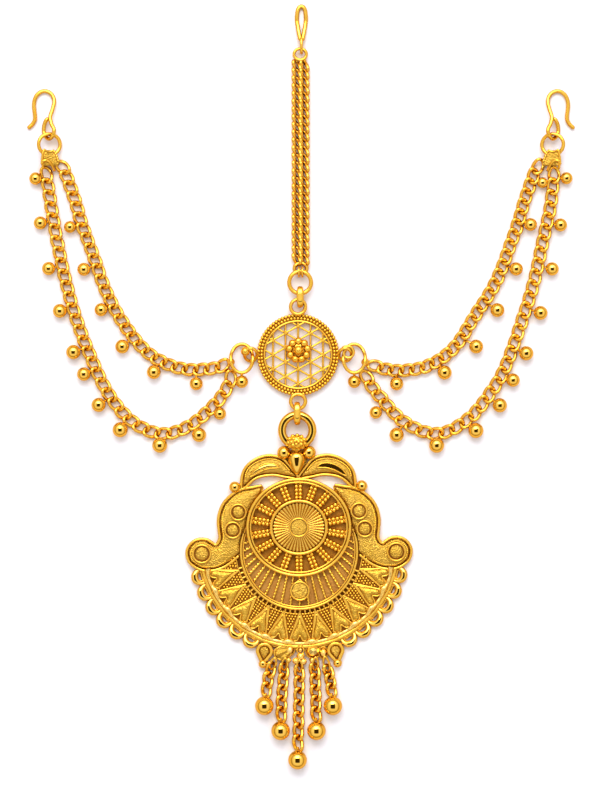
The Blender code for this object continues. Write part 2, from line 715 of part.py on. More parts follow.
def end_ring(name, side):
    half = END_RING_RADIUS - END_RING_WIRE / 2
    points = oval((0, 0, RING_LEVEL), half, half, 14, slope=(END_RING_SLOPE, 0))
    obj = fused(name, [wire(points, END_RING_WIRE, True)], 0.12)
    return placed_at_end(obj, side)


def placed_at_end(obj, side):
    """Puts a piece at the left or right end; the right one is the mirror image."""
    if side > 0:
        obj.data.transform(Matrix.Scale(-1, 4, (1, 0, 0)))
        obj.data.flip_normals()
    obj.location = (side * END_X, END_Y, 0)
    return obj


def end_plate(name, side):
    """Strip folded round the end ring, with a wider flat body that the two chains hang from."""
    wire_middle = math.sqrt((END_RING_RADIUS - END_RING_WIRE / 2) ** 2 - (END_NECK_WIDTH / 2) ** 2)
    top = END_RING_WIRE / 2 - wire_middle + CLEARANCE + END_PLATE_SHEET
    low = -END_RING_RADIUS - CLEARANCE - END_PLATE_SHEET
    opening = END_RING_WIRE + 2 * CLEARANCE
    middle = (0, (top + low) / 2, RING_LEVEL)
    strap = folded_strap(END_NECK_WIDTH, top - low, opening, END_PLATE_SHEET, middle, END_RING_SLOPE)
    half = END_PLATE_WIDTH / 2
    corner = END_PLATE_SHEET
    head = low + END_PLATE_SHEET * 0.6
    foot = low - END_PLATE_LENGTH
    outline = [(-half + corner, head), (half - corner, head), (half, head - corner), (half, foot + corner),
               (half - corner, foot), (-half + corner, foot), (-half, foot + corner), (-half, head - corner)]
    body = plate([(x + END_PLATE_SHIFT, y) for x, y in outline], -END_PLATE_SHEET, END_PLATE_SHEET)
    lean = Matrix.Translation((0, 0, RING_LEVEL))
    lean[2][0] = END_RING_SLOPE
    body.data.transform(lean)
    return placed_at_end(fused(name, [strap, body], 0.35), side)


def ear_hook(name, side):
    points = smooth(HOOK_ROUTE, 22)
    obj = fused(name, [wire(points, HOOK_WIRE)], 0.15)
    return placed_at_end(obj, side)


def nearest(points, place):
    return min(points, key=lambda point: (point - place).length)


def side_chain(name):
    """A side chain as a round tube, with the balls that are fixed along its outer side."""
    level = CHAIN_DIAMETER / 2
    out = SIDE_RING_OUT if name.endswith("right") else -SIDE_RING_OUT
    route = [(out + x, SIDE_RING_Y + y, level) for x, y in CHAIN_ROUTES[name]]
    count = round(length_of(route) / (POINT_PITCH * CHAIN_DIAMETER)) + 1
    axis = smooth(route, count)
    seats = [a.lerp(b, i / 8) for a, b in zip(axis, axis[1:]) for i in range(8)]
    pieces = [wire(axis, CHAIN_DIAMETER, False, 2)]
    for x, y in CHAIN_BALLS[name]:
        place = Vector((out + x, SIDE_RING_Y + y, level))
        seat = nearest(seats, place)
        away = (place - seat).normalized()
        centre = seat + away * (CHAIN_DIAMETER / 2 + CHAIN_BALL / 2 - BALL_HOLD)
        pieces.append(ball((centre.x, centre.y, CHAIN_BALL / 2), CHAIN_BALL))
    if name in LAST_LINKS:
        before = axis[-1].lerp(axis[-2], 0.2)
        x, y = LAST_LINKS[name]
        pieces.append(wire([before, axis[-1], (out + x, SIDE_RING_Y + y, level)], NECK))
    return fused(name, pieces, 0.2)


def lower_link():
    top = BOTTOM_LOOP_Y - DISC_LOOP_RADIUS + DISC_LOOP_WIRE + CLEARANCE + LINK_WIRE
    bottom = PENDANT_RING_Y + PENDANT_RING_RADIUS - PENDANT_RING_WIRE - CLEARANCE * 2 - LINK_WIRE
    opening = PENDANT_RING_WIRE + 2 * CLEARANCE
    return standing_link("lower_link", PENDANT_RING_X, top, bottom, opening, LINK_WIRE, LINK_WIDTH)


def pendant_ring_level():
    return LINK_WIRE + CLEARANCE + PENDANT_RING_WIRE / 2


def pendant_ring():
    half = PENDANT_RING_RADIUS - PENDANT_RING_WIRE / 2
    points = oval((PENDANT_RING_X, PENDANT_RING_Y, pendant_ring_level()), half, half, 16)
    return fused("pendant_ring", [wire(points, PENDANT_RING_WIRE, True, 2)], 0.08)


def mirrored(outline, side):
    return [(side * x * PENDANT_REACH, y * PENDANT_REACH) for x, y in outline]


def back_sheet(centre, half_x, half_y, count):
    """Thin sheet at the back that closes the windows."""
    outline = [(x, y) for x, y, z in oval((*centre, 0), half_x, half_y, count)]
    return plate(outline, 0, BACK_SHEET)


def on_wheel(aim):
    """Where a line from the wheel's middle meets the middle of its rim's wire."""
    return Vector((aim.x * (WHEEL_RADIUS_X - WHEEL_WIRE / 2), aim.y * (WHEEL_RADIUS_Y - WHEEL_WIRE / 2)))


def wheel():
    """The raised wheel: two rings, the spokes between them and the hub."""
    centre = (0, WHEEL_RISE)
    pieces = [
        back_sheet(centre, WHEEL_RADIUS_X - WHEEL_WIRE / 2, WHEEL_RADIUS_Y - WHEEL_WIRE / 2, 30),
        ring_wall(WHEEL_RADIUS_X, WHEEL_RADIUS_Y, WHEEL_WIRE, 0, WHEEL_HEIGHT, centre, 30),
        turned([(None, 0), (0, 0), (0, WHEEL_HEIGHT * 0.85), (HUB_WIRE * 0.5, WHEEL_HEIGHT),
                (HUB_WIRE, WHEEL_HEIGHT * 0.55), (None, WHEEL_HEIGHT * 0.75)],
               HUB_RADIUS_X, HUB_RADIUS_Y, centre, 20),
        button(centre, BUTTON_RADIUS, WHEEL_HEIGHT * 0.35, WHEEL_HEIGHT * 0.95),
    ]
    for i in range(SPOKES):
        turn = 2 * math.pi * i / SPOKES + math.pi / 2
        aim = Vector((math.cos(turn), math.sin(turn)))
        start = Vector((aim.x * (HUB_RADIUS_X - HUB_WIRE / 2), aim.y * (HUB_RADIUS_Y - HUB_WIRE / 2)))
        start += Vector(centre)
        end = Vector(centre) + on_wheel(aim)
        pieces.append(bar(start, end, SPOKE_WIDTH, WHEEL_HEIGHT * 0.3, WHEEL_HEIGHT * 0.75))
    return pieces


def sunburst():
    """The large ring below the wheel, its rays and its button."""
    centre = (0, -SUNBURST_DROP)
    half = SUNBURST_RADIUS - SUNBURST_WIRE / 2
    hub = Vector((0, WHEEL_RISE))
    ring = ring_wall(SUNBURST_RADIUS, SUNBURST_RADIUS, SUNBURST_WIRE, 0, SUNBURST_HEIGHT, centre, 32)
    pieces = [cut(ring, [wheel_opening()]), back_sheet(centre, half, half, 32)]
    count = int(83 / RAY_PITCH)
    for i in range(-count, count + 1):
        degrees = i * RAY_PITCH
        aim = around(1, degrees)
        offset = hub - Vector(centre)
        along = offset.dot(aim)
        reach = -along + math.sqrt(along ** 2 - offset.length_squared + half ** 2)
        start = hub + on_wheel(aim)
        end = hub + aim * reach
        if (end - hub).length < (start - hub).length + RAY_WIDTH * 2:
            continue
        pieces.append(bar(start, end, RAY_WIDTH, 0, SUNBURST_HEIGHT * 0.55))
    seat = (0, WHEEL_RISE - WHEEL_RADIUS_Y - BUTTON_RADIUS - RAY_WIDTH * 2)
    pieces.append(button(seat, BUTTON_RADIUS, 0, SUNBURST_HEIGHT * 0.9))
    return pieces


def heart(degrees):
    side = [(x * HEART_WIDTH / 2, y * HEART_LENGTH) for x, y in HEART_OUTLINE]
    loop = side + [(-x, y) for x, y in reversed(side[1:-1])]
    outline = []
    for x, y in loop:
        aim = around(1, degrees)
        across = Vector((-aim.y, aim.x))
        outline.append(aim * (HEART_TIP_RADIUS + y) + across * x)
    edge = BASE_THICKNESS + HEART_HEIGHT * 0.4
    return plate(outline, BASE_THICKNESS * 0.5, edge, HEART_HEIGHT * 0.6, HEART_WIDTH * 0.08)


def scallop(degrees):
    """A loop of wire that stands out from the rim."""
    half = SCALLOP_RADIUS - SCALLOP_WIRE / 2
    middle = around(BORDER_RADIUS + SCALLOP_RADIUS * 0.3, degrees)
    points = []
    for i in range(6):
        point = around(half, degrees - 133 + 266 * i / 5, middle)
        points.append((*point, BASE_THICKNESS / 2))
    return wire(points, SCALLOP_WIRE, False, 0)


def border():
    """The fan below the sunburst: its hearts, its polished rim and the scallops outside it."""
    steps = 24
    turns = [BORDER_HALF_ANGLE * (2 * i / steps - 1) for i in range(steps + 1)]
    arc = [around(BORDER_RADIUS - RIM_WIRE / 2, turn) for turn in turns]
    fan = plate([(0, 0)] + arc, 0, BASE_THICKNESS)
    rim = [(*point, BASE_THICKNESS) for point in arc]
    pieces = [fan, wire(rim, RIM_WIRE)]
    pieces += [heart(HEART_PITCH * (i - (HEARTS - 1) / 2)) for i in range(HEARTS)]
    for side in (-1, 1):
        for i in range(SCALLOPS):
            pieces.append(scallop(side * (SCALLOP_START + i * SCALLOP_PITCH)))
    return pieces


def wings():
    """The scrolled wings with their bezels, and the leaves over them."""
    pieces = []
    for side in (-1, 1):
        outline = smooth(mirrored(WING_OUTLINE, side), 26, closed=True)
        pieces.append(plate(outline, 0, BASE_THICKNESS, DOME_HEIGHT, PENDANT_REACH * 0.035))
        outline = smooth(mirrored(LEAF_OUTLINE, side), 17, closed=True)
        pieces.append(plate(outline, 0, BASE_THICKNESS, DOME_HEIGHT * 0.8, PENDANT_REACH * 0.03))
    return pieces


def wing_trim():
    pieces = []
    for side in (-1, 1):
        for x, y in mirrored(BEZEL_PLACES, side):
            pieces.append(button((x, y), BEZEL_RADIUS, BASE_THICKNESS / 2,
                                 BASE_THICKNESS + DOME_HEIGHT + BEZEL_HEIGHT, 10))
        (x, y), hold = mirrored([SHOULDER_BALL_PLACE, SHOULDER_HOLD], side)
        level = SHOULDER_BALL * 0.4
        pieces.append(wire([(x, y, level), (*hold, level)], NECK))
        pieces.append(ball((x, y, SHOULDER_BALL / 2), SHOULDER_BALL))
    return pieces


def crest():
    """Boss, balls and the bail that holds the thick ring."""
    tip = CREST_TIP_SHARE * PENDANT_REACH
    boss_y = tip + CREST_BOSS_LENGTH - CREST_BOSS_RADIUS
    ring_y = PENDANT_RING_Y - PENDANT_RING_RADIUS - PENDANT_Y
    level = pendant_ring_level()
    opening = PENDANT_RING_WIRE + 2 * CLEARANCE
    length = opening + 2 * BAIL_WALL + CLEARANCE
    middle = (CREST_X, ring_y + PENDANT_RING_WIRE / 2 - CLEARANCE / 2, level)
    strap = folded_strap(BAIL_WIDTH, length, opening, BAIL_WALL, middle)
    top = level + opening / 2 + BAIL_WALL
    dome = [(CREST_BALL / 2 * math.cos(turn), CREST_BALL / 2 * math.sin(turn))
            for turn in (2 * math.pi * i / 10 for i in range(10))]
    dome = [(CREST_X + x, middle[1] + y) for x, y in dome]
    ball_y = boss_y + CREST_BOSS_RADIUS * 0.7
    ball_x = CREST_BOSS_RADIUS + CREST_BALL * 0.4
    foot = CREST_BOSS_RADIUS * 0.9
    seat_top = middle[1] - opening / 2
    seat = [(-ball_x, ball_y), (-foot, tip + foot), (-foot / 2, tip - BAIL_WALL), (foot / 2, tip - BAIL_WALL),
            (foot, tip + foot), (ball_x, ball_y), (BAIL_WIDTH / 2, seat_top), (-BAIL_WIDTH / 2, seat_top)]
    pieces = [
        strap,
        plate(dome, top - BAIL_WALL * 0.5, top, BAIL_WALL, CREST_BALL * 0.2),
        boss((0, boss_y, 0), CREST_BOSS_RADIUS, CREST_BOSS_LENGTH, BASE_THICKNESS * 2.2),
        plate([(CREST_X / 2 + x, y) for x, y in seat], 0, LINK_WIRE * 0.9),
    ]
    for side in (-1, 1):
        pieces.append(ball((CREST_X / 2 + side * ball_x, ball_y, CREST_BALL / 2), CREST_BALL))
    return pieces


def drop_setting(side):
    """Drop-shaped setting under the rim, with a ball at its foot."""
    x = DROP_SETTING_PLACE * PENDANT_REACH * side
    top = -math.sqrt(BORDER_RADIUS ** 2 - x ** 2) + RIM_WIRE * 0.5
    middle = top - DROP_SETTING_RADIUS
    outline = [(x, top - DROP_SETTING_LENGTH - DROP_SETTING_RADIUS * 0.6)]
    for i in range(9):
        turn = math.radians(-25 + 230 * i / 8)
        point = Vector((math.cos(turn), math.sin(turn))) * DROP_SETTING_RADIUS
        outline.append((x + point.x, middle + point.y))
    foot = (x * 1.04, top - DROP_SETTING_LENGTH - SETTING_BALL * 0.5, SETTING_BALL / 2)
    return [plate(outline, 0, BASE_THICKNESS * 1.1, DOME_HEIGHT * 0.4, DROP_SETTING_RADIUS * 0.25),
            ball(foot, SETTING_BALL)]


def cluster():
    """Leaves, petals and beads at the foot of the pendant, which the drops hang from."""
    foot = -BORDER_RADIUS
    pieces = []
    for side in (-1, 1):
        leaf = [(0.2, 0.3), (1.5, 0.4), (2.7, 0.2), (2.9, -1.0), (2.5, -1.8), (1.4, -1.6), (0.5, -1.1)]
        outline = [(side * x * BUTTON_RADIUS, foot + y * BUTTON_RADIUS) for x, y in leaf]
        pieces.append(plate(smooth(outline, 10, closed=True), 0, BASE_THICKNESS,
                            DOME_HEIGHT * 0.7, BUTTON_RADIUS * 0.25))
        place = (side * BUTTON_RADIUS * 0.75, foot - BUTTON_RADIUS * 1.35, SETTING_BALL * 0.5)
        pieces.append(ball(place, SETTING_BALL))
    petal = ball((0, foot - BUTTON_RADIUS * 0.35, BASE_THICKNESS), BUTTON_RADIUS * 0.8, 4, 10, (1, 1.6, 1))
    bead = ball((0, foot - BUTTON_RADIUS * 1.45, SETTING_BALL * 0.62), SETTING_BALL * 1.1)
    return pieces + [petal, bead]


def wheel_opening():
    return turned(opening_profile(WHEEL_WIRE), WHEEL_RADIUS_X, WHEEL_RADIUS_Y, (0, WHEEL_RISE), 40)


def sunburst_opening():
    return turned(opening_profile(SUNBURST_WIRE), SUNBURST_RADIUS, SUNBURST_RADIUS, (0, -SUNBURST_DROP), 48)


def opening_profile(ring_wire):
    """Profile of a cutter that is taller than the pendant and reaches the middle of a ring's wire."""
    return [(None, -BASE_THICKNESS), (ring_wire / 2, -BASE_THICKNESS), (ring_wire / 2, WHEEL_HEIGHT * 3),
            (None, WHEEL_HEIGHT * 3)]


def pendant():
    base = border()
    pieces = [cut(base[0], [sunburst_opening()]), *base[1:]]
    pieces += [cut(piece, [sunburst_opening(), wheel_opening()]) for piece in wings()]
    pieces += [*wing_trim(), *sunburst(), *wheel(), *crest(), *drop_setting(-1), *drop_setting(1), *cluster()]
    obj = fused("pendant", pieces, 0.3)
    obj.location = (PENDANT_X, PENDANT_Y, 0)
    obj.rotation_euler.z = PENDANT_TURN
    return obj


def drops():
    for number, route in enumerate(DROP_ROUTES, 1):
        level = DROP_CHAIN_DIAMETER / 2
        points = [(PENDANT_X + x, PENDANT_FOOT_Y + y, level) for x, y in route]
        count = max(3, round(length_of(points) / (POINT_PITCH * DROP_CHAIN_DIAMETER)) + 1)
        fused(f"drop_chain_{number}", [wire(smooth(points, count), DROP_CHAIN_DIAMETER, False, 2)], 0.2)
        last = Vector(points[-1])
        aim = (last - Vector(points[-2])).normalized()
        centre = last + aim * (DROP_BALL / 2 + CLEARANCE)
        fused(f"drop_ball_{number}", [ball((centre.x, centre.y, DROP_BALL / 2), DROP_BALL, 5)], 0.08)


def build():
    clear_scene()
    hair_loop()
    hair_ring()
    hair_chain()
    jump_ring()
    upper_link()
    filigree_disc()
    lower_link()
    pendant_ring()
    for name, side in (("left", -1), ("right", 1)):
        side_ring(f"side_ring_{name}", side)
        end_ring(f"end_ring_{name}", side)
        end_plate(f"end_plate_{name}", side)
        ear_hook(f"ear_hook_{name}", side)
    for name in CHAIN_ROUTES:
        side_chain(name)
    pendant()
    drops()


build()
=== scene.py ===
"""The looks of a forehead chain of yellow gold, laid flat on a pale table.

Sizes are in millimetres and angles in degrees, and each mesh is scaled to metres as it is made.
"""

import math

import bpy
import numpy as np
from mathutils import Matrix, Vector, geometry


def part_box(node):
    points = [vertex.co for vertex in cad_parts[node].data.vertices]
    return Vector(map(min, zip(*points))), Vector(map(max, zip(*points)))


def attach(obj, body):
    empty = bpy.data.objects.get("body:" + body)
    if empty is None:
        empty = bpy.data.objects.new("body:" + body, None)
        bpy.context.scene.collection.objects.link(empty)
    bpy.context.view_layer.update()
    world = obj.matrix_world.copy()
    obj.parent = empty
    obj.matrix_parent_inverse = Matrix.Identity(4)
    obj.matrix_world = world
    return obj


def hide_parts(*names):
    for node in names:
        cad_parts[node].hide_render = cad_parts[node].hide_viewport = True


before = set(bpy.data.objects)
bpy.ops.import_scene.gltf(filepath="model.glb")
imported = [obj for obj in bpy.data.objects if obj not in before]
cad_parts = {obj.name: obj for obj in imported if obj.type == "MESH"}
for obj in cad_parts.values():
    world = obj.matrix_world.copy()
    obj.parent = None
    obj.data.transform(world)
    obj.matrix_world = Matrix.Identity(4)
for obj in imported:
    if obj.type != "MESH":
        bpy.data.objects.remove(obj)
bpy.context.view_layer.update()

MM = 0.001
UP = np.array([0.0, 0.0, 1.0])
RIGHT = np.array([1.0, 0.0, 0.0])
rng = np.random.default_rng(7)

# Level of the flat rings over the table
RING_LEVEL = 1.95

# Hair loop, ring and chain
LOOP_X = 0.1
LOOP_TOP = 95.75
LOOP_LENGTH = 8.9
LOOP_WIDTH = 3.3
LOOP_WIRE = 1.05
EYE_WIRE = 0.75
HAIR_RING_X = -0.2
HAIR_RING_TOP = 84.9
HAIR_RING_SIZE = (3.9, 3.6)
HAIR_RING_WIRE = 0.8
HAIR_CHAIN_X = -0.1
HAIR_CHAIN_TOP = 81.2
HAIR_CHAIN_FOOT = 30.9
HAIR_LINK_PITCH = 1.91
HAIR_LINK_WIDTH = 2.15
HAIR_LINK_WIRE = 0.93

# Rings and strap links on the middle line
JUMP_RING = (-0.22, 26.0)
JUMP_RING_RADIUS = 3.27
JUMP_RING_WIRE = 1.05
LINK_WIRE = 1.0
LINK_WIDTH = 1.85
PENDANT_RING = (-0.95, -10.9)
PENDANT_RING_RADIUS = 4.8
PENDANT_RING_WIRE = 2.0
PENDANT_RING_LEVEL = 2.3

# Filigree disc
DISC = (-0.75, 7.95)
DISC_RADIUS = 10.3
DISC_LOOP_RADIUS = 2.3
DISC_LOOP_WIRE = 0.93
LATTICE_PITCH = 3.13
LATTICE_LEVEL = 1.15
FLOWER_PETALS = 9

# Side rings, end rings, plates and hooks
SIDE_LOOP_OUT = 11.8
SIDE_LOOP_RADIUS = 2.0
SIDE_LOOP_WIRE = 0.85
SIDE_LOOP_SLOPE = 0.85
SIDE_RING_OUT = 14.05
SIDE_RING_DROP = 0.95
SIDE_RING_SIZE = (6.4, 8.1)
SIDE_RING_WIRE = 0.9
SIDE_RING_LIFT = 0.9
END = (62.9, 60.5)
END_RING_RADIUS = 3.08
END_RING_WIRE = 0.93
END_SLOPE = -0.3
HOOK_WIRE = 1.0

# Side chains
LINK_PITCH = {"outer": 2.85, "inner": 2.7}
CHAIN_WIDTH = 3.4
CHAIN_WIRE = 0.86

# Drops
DROP_PITCH = 2.8
DROP_WIDTH = 2.95
DROP_WIRE = 0.94
DROP_BALL = 4.7
DROP_HANGERS = [(-6.5, -67.9), (-3.9, -67.9), (-0.4, -68.4), (3.7, -67.7), (5.9, -67.5)]
HANGER_WIRE = 0.62

# Pendant, in its own frame
PENDANT = (-0.5, -40.5)
PENDANT_TURN = 0.0105
REACH = 28.1
BASE = 1.2
WHEEL_Y = 5.3
WHEEL = (13.2, 12.4)
WHEEL_TOP = 2.8
HUB = (7.3, 7.0)
SPOKES = 18
BUTTON = 2.45
SUN_Y = -0.6
SUN = 14.85
SUN_TOP = 2.0
RAY_PITCH = 6.7
RIM = 25.0
RIM_HALF_ANGLE = 78
HEARTS = 11
HEART_PITCH = 14.1
HEART_TIP = 16.5
HEART_LENGTH = 7.2
HEART_WIDTH = 4.75
SCALLOPS = 6
SCALLOP_START = 28.3
SCALLOP_PITCH = 9.25
SCALLOP = 2.2

WING_OUTLINE = [
    (0.310, 0.548), (0.421, 0.546), (0.525, 0.525), (0.596, 0.482), (0.662, 0.417), (0.701, 0.338),
    (0.717, 0.253), (0.711, 0.163), (0.705, 0.097), (0.737, 0.040), (0.772, 0.058), (0.819, 0.086),
    (0.877, 0.092), (0.936, 0.074), (0.982, 0.028), (1.000, -0.031), (0.982, -0.104), (0.936, -0.149),
    (0.872, -0.183), (0.799, -0.192), (0.721, -0.178), (0.648, -0.146), (0.560, -0.080), (0.480, 0.010),
    (0.430, 0.200), (0.380, 0.380),
]
LEAF_OUTLINE = [
    (0.509, 0.545), (0.488, 0.689), (0.402, 0.784), (0.276, 0.829), (0.148, 0.806), (0.062, 0.720),
    (0.004, 0.628), (0.105, 0.634), (0.233, 0.656), (0.377, 0.629), (0.475, 0.545),
]
HEART_OUTLINE = [(0.0, 0.0), (0.55, 0.38), (0.95, 0.72), (0.80, 0.97), (0.42, 1.0), (0.0, 0.88)]

HOOK_ROUTE = [
    (-5.2, 4.4, 0.6), (-4.2, 5.4, 0.6), (-3.7, 6.8, 0.6), (-4.0, 10.0, 0.6), (-3.5, 12.1, 0.6),
    (-2.4, 13.2, 0.6), (-1.2, 13.5, 0.6), (0.1, 13.0, 0.6), (0.9, 11.9, 0.7), (1.1, 10.5, 1.0),
    (0.7, 8.7, 1.4), (0.2, 6.8, 2.0), (0.6, 5.0, 2.5), (1.2, 3.8, 2.9), (1.1, 2.4, 2.9), (0.0, 1.4, 2.0),
    (-1.1, 2.2, 1.1), (-1.5, 3.4, 0.8), (-1.4, 4.8, 0.9), (-1.0, 5.9, 1.1), (-0.6, 6.4, 1.1),
]
CHAIN_ROUTES = {
    "outer_chain_left": [
        (-63.9, 54.4), (-62.4, 44.3), (-60.8, 35.2), (-58.8, 26.0), (-56.2, 16.8), (-52.7, 7.6),
        (-48.3, -1.6), (-42.3, -8.7), (-35.0, -11.8), (-27.9, -9.8), (-21.3, -4.2), (-18.3, 0.1),
        (-17.2, 3.4),
    ],
    "inner_chain_left": [
        (-60.6, 55.8), (-59.3, 54.2), (-56.5, 46.4), (-54.9, 40.8), (-51.9, 32.6), (-48.6, 23.4),
        (-43.7, 14.7), (-37.6, 7.9), (-29.9, 4.5), (-22.3, 4.5), (-18.4, 5.7),
    ],
    "outer_chain_right": [
        (63.5, 54.4), (62.4, 44.9), (60.4, 35.7), (58.4, 26.5), (55.6, 17.3), (51.2, 5.0), (47.4, -1.6),
        (41.8, -8.2), (34.2, -11.8), (26.0, -9.0), (19.4, -2.1), (17.1, 1.0), (15.9, 3.6),
    ],
    "inner_chain_right": [
        (60.4, 55.8), (58.8, 54.2), (56.1, 46.9), (54.3, 40.8), (52.3, 35.2), (48.7, 26.0), (43.3, 17.3),
        (38.2, 9.6), (31.5, 5.1), (23.4, 4.0), (17.3, 5.6),
    ],
}
CHAIN_BALLS = {
    "outer_chain_left": [
        (-66.4, 52.0), (-65.2, 40.9), (-63.1, 29.5), (-60.3, 18.9), (-56.9, 8.6), (-54.3, 3.1),
        (-50.6, -4.6), (-45.2, -10.8), (-35.3, -14.7), (-25.5, -12.1), (-20.3, -6.8),
    ],
    "inner_chain_left": [
        (-57.8, 39.9), (-54.3, 29.3), (-50.0, 19.2), (-44.7, 10.0), (-36.8, 3.6), (-26.2, 0.7),
    ],
    "outer_chain_right": [
        (66.4, 52.1), (64.9, 40.4), (62.8, 29.4), (59.9, 18.4), (56.3, 8.3), (53.0, 1.6), (49.7, -4.7),
        (43.7, -11.0), (33.9, -14.7), (23.9, -12.1), (18.7, -6.5),
    ],
    "inner_chain_right": [
        (60.4, 51.0), (57.4, 40.5), (53.8, 29.4), (49.1, 19.1), (43.8, 10.0), (35.9, 3.5), (23.9, 0.7),
    ],
}
BALL_RADII = {
    "outer_chain_left": [1.5, 1.57, 1.6, 1.67, 1.72, 1.62, 1.7, 1.82, 1.8, 1.72, 1.48],
    "inner_chain_left": [1.43, 1.57, 1.57, 1.67, 1.67, 1.57],
    "outer_chain_right": [1.45, 1.57, 1.6, 1.67, 1.72, 1.62, 1.72, 1.82, 1.82, 1.72, 1.5],
    "inner_chain_right": [1.3, 1.55, 1.6, 1.67, 1.67, 1.7, 1.6],
}
DROP_ROUTES = [
    [(-7.2, -69.6), (-8.3, -73.5), (-8.8, -77.2)],
    [(-4.2, -69.8), (-4.8, -77.9), (-5.0, -83.4)],
    [(-0.4, -70.2), (-0.5, -78.0), (-0.8, -90.7)],
    [(3.4, -69.8), (3.7, -77.9), (3.8, -83.4)],
    [(6.6, -70.2), (7.4, -74.0), (7.7, -77.2)],
]


class Work:
    """Metal that is soldered up bit by bit and becomes one mesh."""

    def __init__(self):
        self.points = []
        self.faces = []
        self.count = 0

    def add(self, points, faces):
        self.points.append(np.asarray(points, float))
        self.faces += [tuple(i + self.count for i in face) for face in faces]
        self.count += len(points)

    def place(self, x, y, turn=0.0):
        points = np.concatenate(self.points)
        c, s = math.cos(turn), math.sin(turn)
        points[:, :2] = points[:, :2] @ np.array([[c, s], [-s, c]]) + (x, y)
        self.points = [points]

    def made(self, name, material, slot, *nodes, sharp=50):
        mesh = bpy.data.meshes.new(name)
        mesh.from_pydata((np.concatenate(self.points) * MM).tolist(), [], self.faces)
        mesh.validate()
        obj = bpy.data.objects.new(name, mesh)
        bpy.context.scene.collection.objects.link(obj)
        mesh.shade_smooth()
        mesh.set_sharp_from_angle(angle=math.radians(sharp))
        mesh.materials.append(material)
        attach(obj, "root")
        if nodes:
            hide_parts(*nodes)
        return obj


def smooth(points, step, closed=False):
    """Points about a step apart on a smooth curve through the given ones."""
    given = np.asarray(points, float)
    if given.shape[1] == 2:
        given = np.column_stack([given, np.zeros(len(given))])
    if closed:
        padded = np.concatenate([given[-1:], given, given[:2]])
    else:
        padded = np.concatenate([given[:1], given, given[-1:]])
    t = np.linspace(0, 1, 24, endpoint=False)[:, None]
    dense = []
    for a, b, c, d in zip(padded, padded[1:], padded[2:], padded[3:]):
        dense.append(0.5 * (2 * b + (c - a) * t + (2 * a - 5 * b + 4 * c - d) * t ** 2
                            + (3 * b - a - 3 * c + d) * t ** 3))
    dense = np.concatenate(dense + [given[:1] if closed else given[-1:]])
    lengths = np.concatenate([[0], np.cumsum(np.linalg.norm(np.diff(dense, axis=0), axis=1))])
    count = max(int(round(lengths[-1] / step)), 2)
    wanted = np.linspace(0, lengths[-1], count + 1)
    if closed:
        wanted = wanted[:-1]
    return np.column_stack([np.interp(wanted, lengths, dense[:, k]) for k in range(3)])


def at_height(points, z):
    points = np.array(points, float)
    return np.column_stack([points[:, 0], points[:, 1], np.full(len(points), z)])


def tube(work, route, radius, sides=10, closed=False, up=UP, height=None, tip=False):
    """A wire along the route. Its radius is a number, one for each point, or one for each point and side.
    A height other than the radius makes it flat or tall."""
    route = np.asarray(route, float)
    count = len(route)
    if closed:
        ahead = np.roll(route, -1, 0) - np.roll(route, 1, 0)
    else:
        ahead = np.gradient(route, axis=0)
    ahead /= np.linalg.norm(ahead, axis=1)[:, None]
    side = np.cross(ahead, up)
    side /= np.maximum(np.linalg.norm(side, axis=1), 1e-9)[:, None]
    over = np.cross(side, ahead)
    radius = np.asarray(radius, float)
    if radius.ndim < 2:
        radius = np.broadcast_to(radius.reshape(-1, 1), (count, sides))
    tall = 1.0 if height is None else height / radius.max()
    if tip:
        bends = np.radians([75, 50, 25])
        first, last = radius[0].mean(), radius[-1].mean()
        head = [route[0] - ahead[0] * first * math.sin(b) for b in bends]
        tail = [route[-1] + ahead[-1] * last * math.sin(b) for b in bends[::-1]]
        route = np.concatenate([head, route, tail])
        radius = np.concatenate([[radius[0] * math.cos(b) for b in bends], radius,
                                 [radius[-1] * math.cos(b) for b in bends[::-1]]])
        side = np.concatenate([[side[0]] * 3, side, [side[-1]] * 3])
        over = np.concatenate([[over[0]] * 3, over, [over[-1]] * 3])
        count += 6
    turns = 2 * np.pi * np.arange(sides) / sides
    points = (route[:, None] + side[:, None] * (radius * np.cos(turns))[:, :, None]
              + over[:, None] * (radius * tall * np.sin(turns))[:, :, None])
    faces = []
    for i in range(count if closed else count - 1):
        a, b = i * sides, (i + 1) % count * sides
        faces += [(a + k, a + (k + 1) % sides, b + (k + 1) % sides, b + k) for k in range(sides)]
    if not closed:
        faces.append(tuple(range(sides))[::-1])
        faces.append(tuple(range((count - 1) * sides, count * sides)))
    work.add(points.reshape(-1, 3), faces)


def lengths_along(route, closed=False):
    steps = np.linalg.norm(np.diff(route, axis=0), axis=1)
    return np.concatenate([[0], np.cumsum(steps)])


def rope(work, route, radius, pitch, sides=10, closed=False):
    """Two wires twisted together."""
    route = smooth(route, pitch / 6, closed)
    along = lengths_along(route)
    turns = 2 * np.pi * np.arange(sides) / sides
    swell = 1 + 0.24 * np.cos(2 * (turns[None] - np.pi * along[:, None] / pitch))
    tube(work, route, radius * swell, sides, closed)


def beaded(work, route, radius, pitch, sides=10, closed=False):
    """A wire rolled into a row of beads."""
    route = smooth(route, pitch / 6, closed)
    total = lengths_along(route)[-1]
    turns = np.pi * max(round(total / pitch), 1) * lengths_along(route) / total
    tube(work, route, radius * (0.62 + 0.38 * np.abs(np.sin(turns))), sides, closed)


